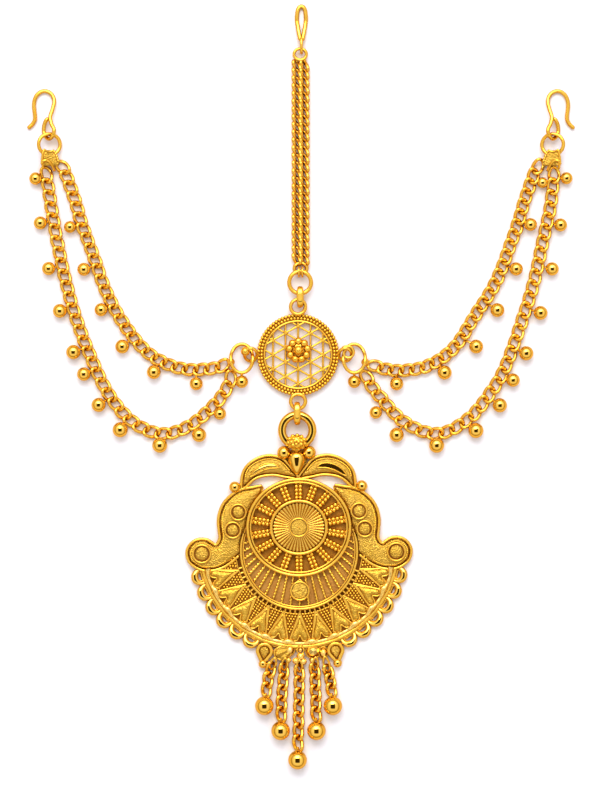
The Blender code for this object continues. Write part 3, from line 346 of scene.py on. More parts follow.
def sphere(sides, rings):
    """Points and faces of a ball of radius 1."""
    points = [(0, 0, 1)]
    for i in range(1, rings):
        polar = math.pi * i / rings
        for k in range(sides):
            turn = 2 * math.pi * k / sides
            points.append((math.sin(polar) * math.cos(turn), math.sin(polar) * math.sin(turn), math.cos(polar)))
    points.append((0, 0, -1))
    faces = [(0, 1 + k, 1 + (k + 1) % sides) for k in range(sides)]
    for i in range(rings - 2):
        a, b = 1 + i * sides, 1 + (i + 1) * sides
        faces += [(a + k, b + k, b + (k + 1) % sides, a + (k + 1) % sides) for k in range(sides)]
    last = len(points) - 1
    a = 1 + (rings - 2) * sides
    faces += [(last, a + (k + 1) % sides, a + k) for k in range(sides)]
    return np.array(points), faces


GRANULE = sphere(10, 7)
BALL = sphere(36, 24)


def beads(work, centres, radius, shape=GRANULE, stretch=(1, 1, 1)):
    for centre in centres:
        work.add(shape[0] * radius * np.array(stretch) + centre, shape[1])


def circle(centre, radius, z, count=48, start=0.0, sweep=360.0, slope=(0, 0)):
    """Points of a circle or oval, or of an arc of it."""
    half_x, half_y = radius if isinstance(radius, tuple) else (radius, radius)
    whole = abs(sweep - 360) < 1e-6
    turns = np.radians(start + sweep * np.arange(count) / (count if whole else count - 1))
    x, y = half_x * np.cos(turns), half_y * np.sin(turns)
    return np.column_stack([centre[0] + x, centre[1] + y, z + slope[0] * x + slope[1] * y])


def around(radius, degrees, centre=(0, 0)):
    """A point at an angle from straight down, positive to the right."""
    turn = math.radians(degrees)
    return (centre[0] + radius * math.sin(turn), centre[1] - radius * math.cos(turn))


def turned(work, profile, centre, shape=(1, 1), count=64):
    """A turned form. The profile holds (radius, z), and a radius of 0 is the middle."""
    turns = 2 * np.pi * np.arange(count) / count
    points = []
    for r, z in profile:
        points.append(np.column_stack([centre[0] + r * shape[0] * np.cos(turns),
                                       centre[1] + r * shape[1] * np.sin(turns), np.full(count, z)]))
    faces = []
    for i in range(len(profile) - 1):
        a, b = i * count, (i + 1) * count
        faces += [(a + k, a + (k + 1) % count, b + (k + 1) % count, b + k) for k in range(count)]
    work.add(np.concatenate(points), faces)


def inside(points, outline):
    x, y = points[:, 0][:, None], points[:, 1][:, None]
    ax, ay = outline[:, 0], outline[:, 1]
    bx, by = np.roll(ax, -1), np.roll(ay, -1)
    crosses = (ay > y) != (by > y)
    where = (bx - ax) * (y - ay) / np.where(by == ay, 1e-12, by - ay) + ax
    return (crosses & (x < where)).sum(1) % 2 == 1


def edge_distance(points, line, closed=True):
    """Distance of each point to the nearest stretch of the line."""
    a = line[:, :2]
    b = np.roll(a, -1, 0)
    if not closed:
        a, b = a[:-1], b[:-1]
    run = b - a
    offset = points[:, None, :2] - a[None]
    share = np.clip((offset * run).sum(2) / np.maximum((run ** 2).sum(1), 1e-12), 0, 1)
    return np.linalg.norm(offset - share[..., None] * run, axis=2).min(1)


def relief(work, outline, bottom, top, crown, shoulder, step, shape=None):
    """A plate with a domed top inside its outline. shape(points, z) may work the top further."""
    edge = np.asarray(outline, float)[:, :2]
    low, high = edge.min(0), edge.max(0)
    xs = np.arange(low[0], high[0] + step, step)
    ys = np.arange(low[1], high[1] + step, step * 0.866)
    grid = np.array([(x + (j % 2) * step / 2, y) for j, y in enumerate(ys) for x in xs])
    grid = grid[inside(grid, edge)]
    grid = grid[edge_distance(grid, edge) > step * 0.4]
    flat = np.concatenate([edge, grid])
    count = len(edge)
    sides = [(i, (i + 1) % count) for i in range(count)]
    found = geometry.delaunay_2d_cdt([Vector(p) for p in flat], sides, [], 1, 1e-5)
    points = np.array([tuple(p) for p in found[0]])
    faces = [tuple(face) for face in found[2]]
    depth = np.clip(edge_distance(points, edge) / shoulder, 0, 1)
    z = top + crown * np.sqrt(1 - (1 - depth) ** 2)
    if shape:
        z = shape(points, z)
    total = len(points)
    upper = np.column_stack([points, z])
    lower = np.column_stack([points, np.full(total, bottom)])
    turned_up = []
    for a, b, c in faces:
        area = (points[b][0] - points[a][0]) * (points[c][1] - points[a][1]) \
            - (points[c][0] - points[a][0]) * (points[b][1] - points[a][1])
        turned_up.append((a, b, c) if area > 0 else (a, c, b))
    uses = {}
    for face in turned_up:
        for one, two in zip(face, face[1:] + face[:1]):
            uses[(one, two)] = True
    walls = [(one, one + total, two + total, two) for one, two in uses if (two, one) not in uses]
    under = [tuple(i + total for i in reversed(face)) for face in turned_up]
    work.add(np.concatenate([upper, lower]), turned_up + under + walls)


def inset(outline, distance):
    """The closed outline drawn inwards by a distance."""
    line = np.asarray(outline, float)[:, :2]
    ahead = np.roll(line, -1, 0) - np.roll(line, 1, 0)
    ahead /= np.maximum(np.linalg.norm(ahead, axis=1), 1e-9)[:, None]
    area = (line[:, 0] * np.roll(line[:, 1], -1) - np.roll(line[:, 0], -1) * line[:, 1]).sum()
    inward = np.column_stack([-ahead[:, 1], ahead[:, 0]]) * math.copysign(1, area)
    return line + inward * distance


def curb_link(work, centre, heading, length, width, wire, lift, hand=1, sides=10, count=32, lean=0.0):
    """One twisted oval link, whose corners pass over and under its neighbours'."""
    t = 2 * np.pi * np.arange(count) / count
    x = length / 2 * np.cos(t)
    y = width / 2 * np.sign(np.sin(t)) * np.abs(np.sin(t)) ** 0.9
    x = x + lean * y
    z = hand * lift * np.sin(2 * t)
    c, s = math.cos(heading), math.sin(heading)
    route = np.column_stack([centre[0] + c * x - s * y, centre[1] + s * x + c * y, centre[2] + z])
    tube(work, route, wire / 2, sides, closed=True)


def curb_chain(work, route, pitch, width, wire, hand=1, sides=10, spread=0.03, tilt=0.22, lean=0.0):
    """Links along a route, with the little unevenness of a chain that lies as it fell."""
    dense = smooth(route, 0.1)
    along = lengths_along(dense)
    total = max(int(round(along[-1] / pitch)), 1)
    pitch = along[-1] / total
    lift = wire * 0.56
    for i in range(total):
        here = pitch * (i + 0.5)
        place = [np.interp(here, along, dense[:, k]) for k in range(2)]
        ahead = [np.interp(min(here + 0.8, along[-1]), along, dense[:, k])
                 - np.interp(max(here - 0.8, 0), along, dense[:, k]) for k in range(2)]
        heading = math.atan2(ahead[1], ahead[0]) + rng.normal(0, spread) + tilt
        level = lift + wire / 2 + abs(rng.normal(0, wire * 0.06))
        curb_link(work, (place[0], place[1], level), heading, pitch + wire * 1.08, width - wire, wire, lift, hand, sides,
                  lean=lean)


def group(name, inputs, outputs):
    """An empty shader node group with its named sockets, and its input and output nodes."""
    tree = bpy.data.node_groups.new(name, "ShaderNodeTree")
    for label, kind, value in inputs:
        socket = tree.interface.new_socket(label, in_out="INPUT", socket_type=kind)
        socket.default_value = value
    for label, kind in outputs:
        tree.interface.new_socket(label, in_out="OUTPUT", socket_type=kind)
    return tree, tree.nodes.new("NodeGroupInput"), tree.nodes.new("NodeGroupOutput")


def gold_tone_group():
    """Uneven gold: its colour and its roughness drift a little over the surface, and in crevices and between parts,
    where ambient occlusion finds them, the colour turns to the dark Crevice colour as painted shade.
    """
    tree, source, out = group(
        "gold_tone",
        [("Light", "NodeSocketColor", (1, 1, 1, 1)), ("Deep", "NodeSocketColor", (0.8, 0.5, 0.1, 1)),
         ("Crevice", "NodeSocketColor", (0.34, 0.11, 0.005, 1)), ("Crevice Reach", "NodeSocketFloat", 0.0007),
         ("Scale", "NodeSocketFloat", 300.0), ("Smooth", "NodeSocketFloat", 0.1),
         ("Rough", "NodeSocketFloat", 0.2)],
        [("Color", "NodeSocketColor"), ("Roughness", "NodeSocketFloat")],
    )
    nodes, links = tree.nodes, tree.links
    place = nodes.new("ShaderNodeTexCoord")
    noise = nodes.new("ShaderNodeTexNoise")
    noise.inputs["Detail"].default_value = 4
    noise.inputs["Roughness"].default_value = 0.6
    links.new(place.outputs["Object"], noise.inputs["Vector"])
    links.new(source.outputs["Scale"], noise.inputs["Scale"])
    drift = nodes.new("ShaderNodeMapRange")
    drift.inputs["From Min"].default_value = 0.3
    drift.inputs["From Max"].default_value = 0.7
    links.new(noise.outputs["Fac"], drift.inputs["Value"])
    tint = nodes.new("ShaderNodeMix")
    tint.data_type = "RGBA"
    links.new(drift.outputs["Result"], tint.inputs["Factor"])
    links.new(source.outputs["Light"], tint.inputs["A"])
    links.new(source.outputs["Deep"], tint.inputs["B"])
    # Painted shade: ambient occlusion mixes the colour towards the dark Crevice colour in crevices and between parts.
    hidden = nodes.new("ShaderNodeAmbientOcclusion")
    hidden.samples = 6
    links.new(source.outputs["Crevice Reach"], hidden.inputs["Distance"])
    exposed = nodes.new("ShaderNodeMapRange")
    exposed.interpolation_type = "SMOOTHSTEP"
    exposed.inputs["From Min"].default_value = 0.15
    exposed.inputs["From Max"].default_value = 0.85
    links.new(hidden.outputs["AO"], exposed.inputs["Value"])
    painted_crevice_shade = nodes.new("ShaderNodeMix")
    painted_crevice_shade.data_type = "RGBA"
    links.new(exposed.outputs["Result"], painted_crevice_shade.inputs["Factor"])
    links.new(source.outputs["Crevice"], painted_crevice_shade.inputs["A"])
    links.new(tint.outputs["Result"], painted_crevice_shade.inputs["B"])
    links.new(painted_crevice_shade.outputs["Result"], out.inputs["Color"])
    dull = nodes.new("ShaderNodeMapRange")
    links.new(noise.outputs["Fac"], dull.inputs["Value"])
    dull.inputs["From Min"].default_value = 0.35
    dull.inputs["From Max"].default_value = 0.75
    links.new(source.outputs["Smooth"], dull.inputs["To Min"])
    links.new(source.outputs["Rough"], dull.inputs["To Max"])
    links.new(dull.outputs["Result"], out.inputs["Roughness"])
    return tree


def worked_surface_group():
    """The marks of the finish: fine brushing along one way, and small dents from the punch."""
    tree, source, out = group(
        "worked_surface",
        [("Brush Scale", "NodeSocketFloat", 900.0), ("Brush", "NodeSocketFloat", 0.0),
         ("Stipple Scale", "NodeSocketFloat", 2500.0), ("Stipple", "NodeSocketFloat", 0.0),
         ("Depth", "NodeSocketFloat", 0.00005)],
        [("Normal", "NodeSocketVector")],
    )
    nodes, links = tree.nodes, tree.links
    place = nodes.new("ShaderNodeTexCoord")
    stretch = nodes.new("ShaderNodeMapping")
    stretch.inputs["Scale"].default_value = (0.12, 1.0, 1.0)
    links.new(place.outputs["Object"], stretch.inputs["Vector"])
    brush = nodes.new("ShaderNodeTexNoise")
    brush.inputs["Detail"].default_value = 3
    links.new(stretch.outputs["Vector"], brush.inputs["Vector"])
    links.new(source.outputs["Brush Scale"], brush.inputs["Scale"])
    punch = nodes.new("ShaderNodeTexVoronoi")
    punch.feature = "SMOOTH_F1"
    links.new(place.outputs["Object"], punch.inputs["Vector"])
    links.new(source.outputs["Stipple Scale"], punch.inputs["Scale"])
    brushed = nodes.new("ShaderNodeMath")
    brushed.operation = "MULTIPLY"
    links.new(brush.outputs["Fac"], brushed.inputs[0])
    links.new(source.outputs["Brush"], brushed.inputs[1])
    dented = nodes.new("ShaderNodeMath")
    dented.operation = "MULTIPLY"
    links.new(punch.outputs["Distance"], dented.inputs[0])
    links.new(source.outputs["Stipple"], dented.inputs[1])
    both = nodes.new("ShaderNodeMath")
    both.operation = "ADD"
    links.new(brushed.outputs["Value"], both.inputs[0])
    links.new(dented.outputs["Value"], both.inputs[1])
    bump = nodes.new("ShaderNodeBump")
    links.new(both.outputs["Value"], bump.inputs["Height"])
    links.new(source.outputs["Depth"], bump.inputs["Distance"])
    links.new(bump.outputs["Normal"], out.inputs["Normal"])
    return tree


def gold(name, light, deep, smooth_rough, scale=250.0, reach=0.0006, brush=0.0, stipple=0.0, brush_scale=900.0,
         stipple_scale=2600.0, depth=0.00006):
    material = bpy.data.materials.new(name)
    material.use_nodes = True
    nodes, links = material.node_tree.nodes, material.node_tree.links
    shader = nodes["Principled BSDF"]
    shader.inputs["Metallic"].default_value = 1.0
    tone = nodes.new("ShaderNodeGroup")
    tone.node_tree = TONE
    tone.inputs["Light"].default_value = (*light, 1)
    tone.inputs["Deep"].default_value = (*deep, 1)
    tone.inputs["Scale"].default_value = scale
    # How far the painted crevice shade reaches.
    tone.inputs["Crevice Reach"].default_value = reach
    tone.inputs["Smooth"].default_value = smooth_rough[0]
    tone.inputs["Rough"].default_value = smooth_rough[1]
    links.new(tone.outputs["Color"], shader.inputs["Base Color"])
    links.new(tone.outputs["Roughness"], shader.inputs["Roughness"])
    if brush or stipple:
        marks = nodes.new("ShaderNodeGroup")
        marks.node_tree = MARKS
        marks.inputs["Brush"].default_value = brush
        marks.inputs["Brush Scale"].default_value = brush_scale
        marks.inputs["Stipple"].default_value = stipple
        marks.inputs["Stipple Scale"].default_value = stipple_scale
        marks.inputs["Depth"].default_value = depth
        links.new(marks.outputs["Normal"], shader.inputs["Normal"])
    return material


TONE = gold_tone_group()
MARKS = worked_surface_group()
BALL_GOLD = gold("ball_gold", (0.96, 0.60, 0.10), (0.93, 0.55, 0.07), (0.04, 0.08))
RING_GOLD = gold("ring_gold", (0.96, 0.60, 0.09), (0.92, 0.53, 0.06), (0.08, 0.14))
# Painted highlight: a paler, lighter copy of the polished gold, for the rim's band and the cluster's facets.
BRIGHT_GOLD = gold("bright_gold", (0.98, 0.67, 0.17), (0.94, 0.58, 0.10), (0.18, 0.28))
POLISHED = gold("polished_gold", (0.94, 0.575, 0.075), (0.88, 0.485, 0.045), (0.06, 0.12), reach=0.001)
CHAIN_GOLD = gold("chain_gold", (0.94, 0.57, 0.075), (0.86, 0.46, 0.04), (0.05, 0.11), reach=0.001)
FILIGREE_GOLD = gold("filigree_gold", (0.93, 0.57, 0.065), (0.85, 0.48, 0.04), (0.08, 0.16), reach=0.0006)
FLUTED = gold("fluted_gold", (0.77, 0.48, 0.085), (0.69, 0.40, 0.05), (0.22, 0.3), reach=0.0003)
SATIN = gold("satin_gold", (0.60, 0.355, 0.05), (0.52, 0.295, 0.03), (0.32, 0.44), reach=0.0004, brush=0.4,
             stipple=1.0, brush_scale=3200.0, stipple_scale=3600.0, depth=0.00022)
STIPPLED = gold("stippled_gold", (0.68, 0.40, 0.05), (0.57, 0.32, 0.03), (0.30, 0.44), reach=0.0005, brush=0.3,
                stipple=1.0, brush_scale=3200.0, stipple_scale=3200.0, depth=0.00016)
# Painted shade: these recess golds are far darker than the gold, as sheets where the windows and the gaps between
# granules would show only shade.
SHADE_RECESS = gold("shade_recess_gold", (0.39, 0.17, 0.022), (0.28, 0.11, 0.012), (0.5, 0.65), stipple=0.6)
SUN_SHADE_RECESS = gold("pale_shade_recess_gold", (0.50, 0.25, 0.05), (0.40, 0.175, 0.03), (0.5, 0.65), stipple=0.6)
# Painted shade: the darkest brown, for the holes, the ground between the V wires and the bezels' gaps.
SHADE_HOLLOW = gold("shade_hollow_gold", (0.22, 0.08, 0.01), (0.12, 0.04, 0.005), (0.5, 0.65))


def hair_loop():
    """A teardrop of wire whose ends close into a standing eye round the ring below."""
    work = Work()
    eye_top = LOOP_TOP - LOOP_LENGTH
    opening = HAIR_RING_WIRE + 0.6
    level = EYE_WIRE + opening / 2
    half = (LOOP_WIDTH - LOOP_WIRE) / 2
    low = LOOP_WIRE / 2
    top = LOOP_TOP - LOOP_WIRE / 2
    right = [(half * 0.30, eye_top + 0.1, level * 0.95), (half * 0.50, eye_top + LOOP_LENGTH * 0.14, level * 0.8),
             (half * 0.92, top - LOOP_LENGTH * 0.48, low), (half, top - LOOP_LENGTH * 0.30, low),
             (half * 0.72, top - LOOP_LENGTH * 0.08, low)]
    left = [(-x, y, z) for x, y, z in right]
    route = left + [(0, top, low)] + right[::-1]
    tube(work, smooth([(LOOP_X + x, y, z) for x, y, z in route], 0.25), LOOP_WIRE / 2, 14, tip=True)
    eye_bottom = HAIR_RING_TOP - HAIR_RING_WIRE - 0.3 - EYE_WIRE
    middle = (eye_top + eye_bottom + EYE_WIRE) / 2
    reach = (eye_top - eye_bottom) / 2
    turns = np.linspace(0, 2 * np.pi, 32, endpoint=False)
    eye = np.column_stack([np.full(32, LOOP_X), middle + reach * np.cos(turns),
                           level + (opening + EYE_WIRE) / 2 * np.sin(turns)])
    tube(work, eye, EYE_WIRE / 2, 12, closed=True, up=RIGHT)
    work.made("hair_loop_wire", POLISHED, "polished_gold", "hair_loop")


def plain_ring(name, node, centre, radius, wire, level, sides=18, count=72, material=POLISHED):
    work = Work()
    tube(work, circle(centre, radius, level, count), wire / 2, sides, closed=True)
    work.made(name, material, "polished_gold", node)


def hair_ring():
    half = tuple(size / 2 - HAIR_RING_WIRE / 2 for size in HAIR_RING_SIZE)
    centre = (HAIR_RING_X, HAIR_RING_TOP - HAIR_RING_SIZE[1] / 2)
    plain_ring("hair_ring_wire", "hair_ring", centre, half, HAIR_RING_WIRE, 1.45)


def hair_chain():
    """Two curb strands, soldered side by side, with the small links that end them."""
    work = Work()
    step = 0.94
    for hand in (-1, 1):
        x = HAIR_CHAIN_X + hand * step
        route = [(x, HAIR_CHAIN_TOP, 0), (x, 56.0, 0), (x, HAIR_CHAIN_FOOT, 0)]
        curb_chain(work, route, HAIR_LINK_PITCH, HAIR_LINK_WIDTH, HAIR_LINK_WIRE, 1, 8, 0.01, 0.5)
    wide = circle((HAIR_CHAIN_X, 29.6), (1.55, 1.3), 0.9, 40)
    tube(work, wide, HAIR_LINK_WIRE / 2, 10, closed=True)
    for side in (-1, 1):
        turns = np.linspace(0, 2 * np.pi, 28, endpoint=False)
        small = np.column_stack([np.full(28, HAIR_CHAIN_X + side * 0.42), 28.6 + 1.15 * np.cos(turns),
                                 RING_LEVEL + 1.0 * np.sin(turns)])
        tube(work, small, 0.26, 10, closed=True, up=RIGHT)
    beads(work, [(HAIR_CHAIN_X + side * 0.95, HAIR_CHAIN_TOP + 0.3, 0.9) for side in (-1, 1)], 0.5, BALL)
    work.made("hair_chain_links", CHAIN_GOLD, "chain_gold", "hair_chain")


def strap_link(name, node, x, top, bottom, opening, wire):
    """A link of rounded strap on edge, worn bright over its back."""
    work = Work()
    half_z = opening / 2 + wire / 2
    half_y = (top - bottom - wire) / 2
    turns = np.linspace(0, 2 * np.pi, 56, endpoint=False)
    y = half_y * np.sign(np.cos(turns)) * np.abs(np.cos(turns)) ** 0.8
    z = half_z * np.sign(np.sin(turns)) * np.abs(np.sin(turns)) ** 0.7
    route = np.column_stack([np.full(56, x), (top + bottom) / 2 + y, half_z + wire / 2 + z])
    wide = wire / 2 * (1 + (LINK_WIDTH / wire - 1) * (1 - (y / (half_y + wire)) ** 2))
    sides = 18
    round_turns = 2 * np.pi * np.arange(sides) / sides
    flat = np.hypot(np.cos(round_turns) * wire / 2, np.sin(round_turns) * wide[:, None])
    tube(work, route, flat, sides, closed=True, up=RIGHT)
    work.made(name, POLISHED, "polished_gold", node)


def middle_rings():
    plain_ring("upper_jump_ring_wire", "upper_jump_ring", JUMP_RING, JUMP_RING_RADIUS - JUMP_RING_WIRE / 2,
               JUMP_RING_WIRE, RING_LEVEL)
    plain_ring("pendant_ring_wire", "pendant_ring", PENDANT_RING, PENDANT_RING_RADIUS - PENDANT_RING_WIRE / 2,
               PENDANT_RING_WIRE, PENDANT_RING_LEVEL, 32, 96, RING_GOLD)
    strap_link("upper_link_strap", "upper_link", JUMP_RING[0], 25.08, 19.68, 1.9, LINK_WIRE)
    strap_link("lower_link_strap", "lower_link", PENDANT_RING[0], -3.8, -9.7, 2.6, LINK_WIRE)


def disc_rim(work):
    for radius, z, wire in ((9.75, 0.45, 0.4), (9.2, 0.45, 0.45), (8.45, 0.55, 0.4)):
        tube(work, circle((0, 0), radius, z, 96), wire, 10, closed=True)
    turned(work, [(9.8, 0.2), (9.8, 1.1), (8.6, 1.1), (8.6, 0.2), (9.8, 0.2)], (0, 0), count=96)
    tube(work, circle((0, 0), 8.42, 1.35, 96), 0.28, 10, closed=True)


def disc_granules(work):
    for radius, size, z, total in ((9.88, 0.46, 1.35, 70), (9.12, 0.41, 1.45, 68)):
        beads(work, circle((0, 0), radius, z, total), size, sphere(14, 9))


def lattice(work):
    """Wires in three directions, laid over one another and soldered where they cross."""
    inner = 8.55
    rows = int(inner / LATTICE_PITCH)
    lines = []
    for direction in range(3):
        turn = math.radians(90 + 60 * direction)
        along = np.array([math.cos(turn), math.sin(turn)])
        across = np.array([-along[1], along[0]])
        for row in range(-rows, rows + 1):
            offset = row * LATTICE_PITCH
            half = math.sqrt(inner ** 2 - offset ** 2)
            level = LATTICE_LEVEL + (direction - 1) * 0.16
            ends = [(*(across * offset - along * half), level), (*(across * offset + along * half), level)]
            tube(work, ends, 0.27, 8)
            lines.append((across * offset, along))
    knots = []
    for i, (one, run) in enumerate(lines):
        for other, cross_run in lines[i + 1:]:
            slant = run[0] * cross_run[1] - run[1] * cross_run[0]
            if abs(slant) < 0.1:
                continue
            share = ((other - one)[0] * cross_run[1] - (other - one)[1] * cross_run[0]) / slant
            place = one + run * share
            if np.hypot(*place) < inner - 0.3 and not any(np.hypot(*(place - k)) < 0.2 for k in knots):
                knots.append(place)
    for x, y in knots:
        turn = rng.uniform(0, np.pi)
        for step in (0, np.pi / 3, 2 * np.pi / 3):
            aim = np.array([math.cos(turn + step), math.sin(turn + step)]) * 0.62
            tube(work, [(x - aim[0], y - aim[1], LATTICE_LEVEL + 0.22), (x, y, LATTICE_LEVEL + 0.36),
                        (x + aim[0], y + aim[1], LATTICE_LEVEL + 0.22)], 0.17, 6)


def flower(work):
    x, y = 0.1, 1.1
    beads(work, [(x, y, LATTICE_LEVEL)], 2.4, sphere(24, 12), (1, 1, 0.45))
    beads(work, circle((x, y), 2.3, LATTICE_LEVEL + 0.7, FLOWER_PETALS, start=90), 0.95, sphere(20, 14))
    beads(work, [(x, y, LATTICE_LEVEL + 1.1)], 1.2, sphere(24, 16))


def filigree_disc():
    base, bright = Work(), Work()
    disc_rim(bright)
    disc_granules(base)
    lattice(base)
    flower(bright)
    loop = DISC_LOOP_RADIUS - DISC_LOOP_WIRE / 2
    tube(bright, circle((0, DISC_RADIUS + DISC_LOOP_RADIUS * 0.72), loop, RING_LEVEL, 56), DISC_LOOP_WIRE / 2, 14, True)
    tube(bright, circle((0, -DISC_RADIUS - DISC_LOOP_RADIUS * 0.60), loop, RING_LEVEL, 56), DISC_LOOP_WIRE / 2, 14, True)
    half = SIDE_LOOP_RADIUS - SIDE_LOOP_WIRE / 2
    for side in (-1, 1):
        tube(bright, circle((side * SIDE_LOOP_OUT, 0), half, RING_LEVEL, 56, slope=(0, SIDE_LOOP_SLOPE)),
             SIDE_LOOP_WIRE / 2, 14, True)
    beads(bright, [(-13.15, 0.8, 2.3)], 1.15, BALL)
    turns = np.radians(np.linspace(150, -330, 40))
    reach = np.linspace(1.75, 0.75, 40)
    curl = np.column_stack([12.45 + reach * np.cos(turns), 0.45 + reach * np.sin(turns), np.linspace(2.9, 2.5, 40)])
    tube(bright, curl, 0.36, 12, tip=True)
    for one in (base, bright):
        one.place(*DISC)
    base.made("disc_lattice_and_granules", FILIGREE_GOLD, "filigree_gold", "filigree_disc")
    bright.made("disc_rim_and_loops", POLISHED, "polished_gold")


def side_ring(name, side):
    """An oval ring through the disc's loop, with a bead on it and a ball that hangs from it."""
    work = Work()
    x = DISC[0] + side * SIDE_RING_OUT
    y = DISC[1] - SIDE_RING_DROP
    half = tuple(size / 2 - SIDE_RING_WIRE / 2 for size in SIDE_RING_SIZE)
    route = circle((x, y), half, RING_LEVEL, 72)
    route[:, 2] -= SIDE_RING_LIFT * np.tanh((route[:, 1] - DISC[1]) / (SIDE_LOOP_RADIUS * 0.6))
    tube(work, route, SIDE_RING_WIRE / 2, 16, closed=True)
    balls = Work()
    beads(balls, [(x + side * half[0], y - half[1] * 0.25, RING_LEVEL)], 1.0, BALL)
    low = y - half[1]
    hang = low - SIDE_RING_WIRE / 2 - 1.6 - 0.15
    tube(work, [(x, low, RING_LEVEL + 0.7), (x, low - 0.6, RING_LEVEL + 0.5), (x, hang, RING_LEVEL + 0.36)], 0.35, 10)
    beads(balls, [(x, hang, RING_LEVEL + 0.36)], 1.6, BALL)
    work.made(f"{name}_wire", POLISHED, "polished_gold", name)
    balls.made(f"{name}_balls", BALL_GOLD, "polished_gold")


def mirror_end(work, side):
    """Moves an end's piece to its place; the right end is the mirror image of the left."""
    points = np.concatenate(work.points)
    if side > 0:
        points[:, 0] *= -1
        work.faces = [face[::-1] for face in work.faces]
    points[:, :2] += (side * END[0], END[1])
    work.points = [points]


def end_pieces(side, word):
    ring = Work()
    tube(ring, circle((0, 0), END_RING_RADIUS - END_RING_WIRE / 2, RING_LEVEL, 72, slope=(END_SLOPE, 0)),
         END_RING_WIRE / 2, 16, closed=True)
    mirror_end(ring, side)
    ring.made(f"end_ring_{word}_wire", POLISHED, "polished_gold", f"end_ring_{word}")
    hook = Work()
    tube(hook, smooth(HOOK_ROUTE, 0.3), HOOK_WIRE / 2, 16, tip=True)
    mirror_end(hook, side)
    hook.made(f"ear_hook_{word}_wire", POLISHED, "polished_gold", f"ear_hook_{word}")


def end_plate(side, word):
    """A strip of sheet folded over the end ring, with ridges down its sides and a link's end lying over it."""
    work = Work()
    outline = smooth([(-1.45, -2.6), (-0.9, -1.6), (1.1, -1.6), (1.7, -2.4), (2.4, -4.4), (1.9, -5.2), (-1.3, -5.3),
                      (-1.7, -4.6)], 0.25, closed=True)
    for low, high in ((RING_LEVEL + 0.5, RING_LEVEL + 0.85), (RING_LEVEL - 0.85, RING_LEVEL - 0.5)):
        relief(work, outline, low, high, 0.12, 0.3, 0.3)
    turns = np.radians(np.linspace(90, 270, 14))
    fold = np.column_stack([np.full(14, 0.1), -1.9 - 0.3 + 0.6 * -np.cos(turns), RING_LEVEL + 0.68 * np.sin(turns)])
    tube(work, fold, 0.18, 10, up=RIGHT, height=0.8)
    bars = Work()
    top = RING_LEVEL + 1.0
    tube(bars, smooth([(-1.15, -1.5, top), (-1.5, -2.6, top), (-1.75, -4.9, top)], 0.25), 0.32, 10, tip=True)
    beaded(bars, smooth([(1.2, -1.6, top), (1.75, -2.6, top), (2.4, -4.4, top)], 0.25), 0.34, 0.62, 10)
    tube(bars, smooth([(-1.0, -1.55, top), (0.1, -1.9, top), (1.1, -1.55, top)], 0.2), 0.26, 10, tip=True)
    bow = [(-1.5, -5.9, 2.2), (-1.5, -4.5, top), (-0.6, -4.1, top + 0.25), (0.4, -4.7, top), (1.2, -6.4, 1.9)]
    tube(bars, smooth(bow, 0.25), 0.36, 12, tip=True)
    for part in (work, bars):
        points = np.concatenate(part.points)
        points[:, 2] += END_SLOPE * points[:, 0]
        part.points = [points]
        mirror_end(part, side)
    work.made(f"end_plate_{word}_sheet", SATIN, "satin_gold", f"end_plate_{word}")
    bars.made(f"end_plate_{word}_trim", CHAIN_GOLD, "chain_gold")


def side_chain(name):
    work = Work()
    route = CHAIN_ROUTES[name]
    curb_chain(work, route, LINK_PITCH[name.split("_")[0]], CHAIN_WIDTH, CHAIN_WIRE, 1, 12, 0.05, 0.12, 0.26)
    work.made(f"{name}_links", CHAIN_GOLD, "chain_gold", name)
    balls = Work()
    dense = smooth(route, 0.2)
    for (x, y), radius in zip(CHAIN_BALLS[name], BALL_RADII[name]):
        seat = dense[np.hypot(dense[:, 0] - x, dense[:, 1] - y).argmin()]
        away = np.array([x - seat[0], y - seat[1]])
        away /= np.hypot(*away)
        radius *= 1.05
        beads(balls, [(x, y, radius)], radius, BALL)
        start = np.array([x, y]) - away * radius * 0.9
        end = seat[:2] + away * CHAIN_WIDTH * 0.42
        tube(balls, [(*start, radius), (*(start + end) / 2, radius * 0.9), (*end, 1.0)], 0.3, 10)
    balls.made(f"{name}_balls", BALL_GOLD, "polished_gold")


def hanger(work, top, route):
    """A loop of thin wire from the cluster through a drop's first link."""
    top = np.array(top)
    foot = np.array(route[0][:2]) * 0.45 + np.array(route[1][:2]) * 0.55
    foot = np.array(route[0][:2]) + (foot - route[0][:2]) / np.hypot(*(foot - route[0][:2])) * DROP_WIRE * 1.35
    middle = (top + foot) / 2
    across = np.array([foot[1] - top[1], top[0] - foot[0]])
    across *= 0.75 / np.hypot(*across)
    corners = [(*top, 1.9), (*(middle + across), 1.6), (*foot, 0.5), (*(middle - across), 1.6)]
    tube(work, smooth(corners, 0.1, closed=True), HANGER_WIRE / 2, 10, closed=True)


def drops():
    for number, route in enumerate(DROP_ROUTES, 1):
        work = Work()
        curb_chain(work, route, DROP_PITCH, DROP_WIDTH, DROP_WIRE, 1, 12, 0.05, 0.14, 0.22)
        hanger(work, DROP_HANGERS[number - 1], route)
        work.made(f"drop_chain_{number}_links", CHAIN_GOLD, "chain_gold", f"drop_chain_{number}")
        low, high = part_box(f"drop_ball_{number}")
        middle = (low + high) / 2 / MM
        ball = Work()
        beads(ball, [(middle.x, middle.y, DROP_BALL / 2)], DROP_BALL / 2, sphere(48, 32))
        last = np.array(route[-1])
        aim = np.array([middle.x, middle.y]) - last
        aim /= np.hypot(*aim)
        start = last - aim * 0.3
        end = last + aim * 0.6
        tube(ball, [(*start, 1.0), (*last, 1.3), (*end, 1.8)], 0.34, 10)
        ball.made(f"drop_ball_{number}_ball", BALL_GOLD, "polished_gold", f"drop_ball_{number}")


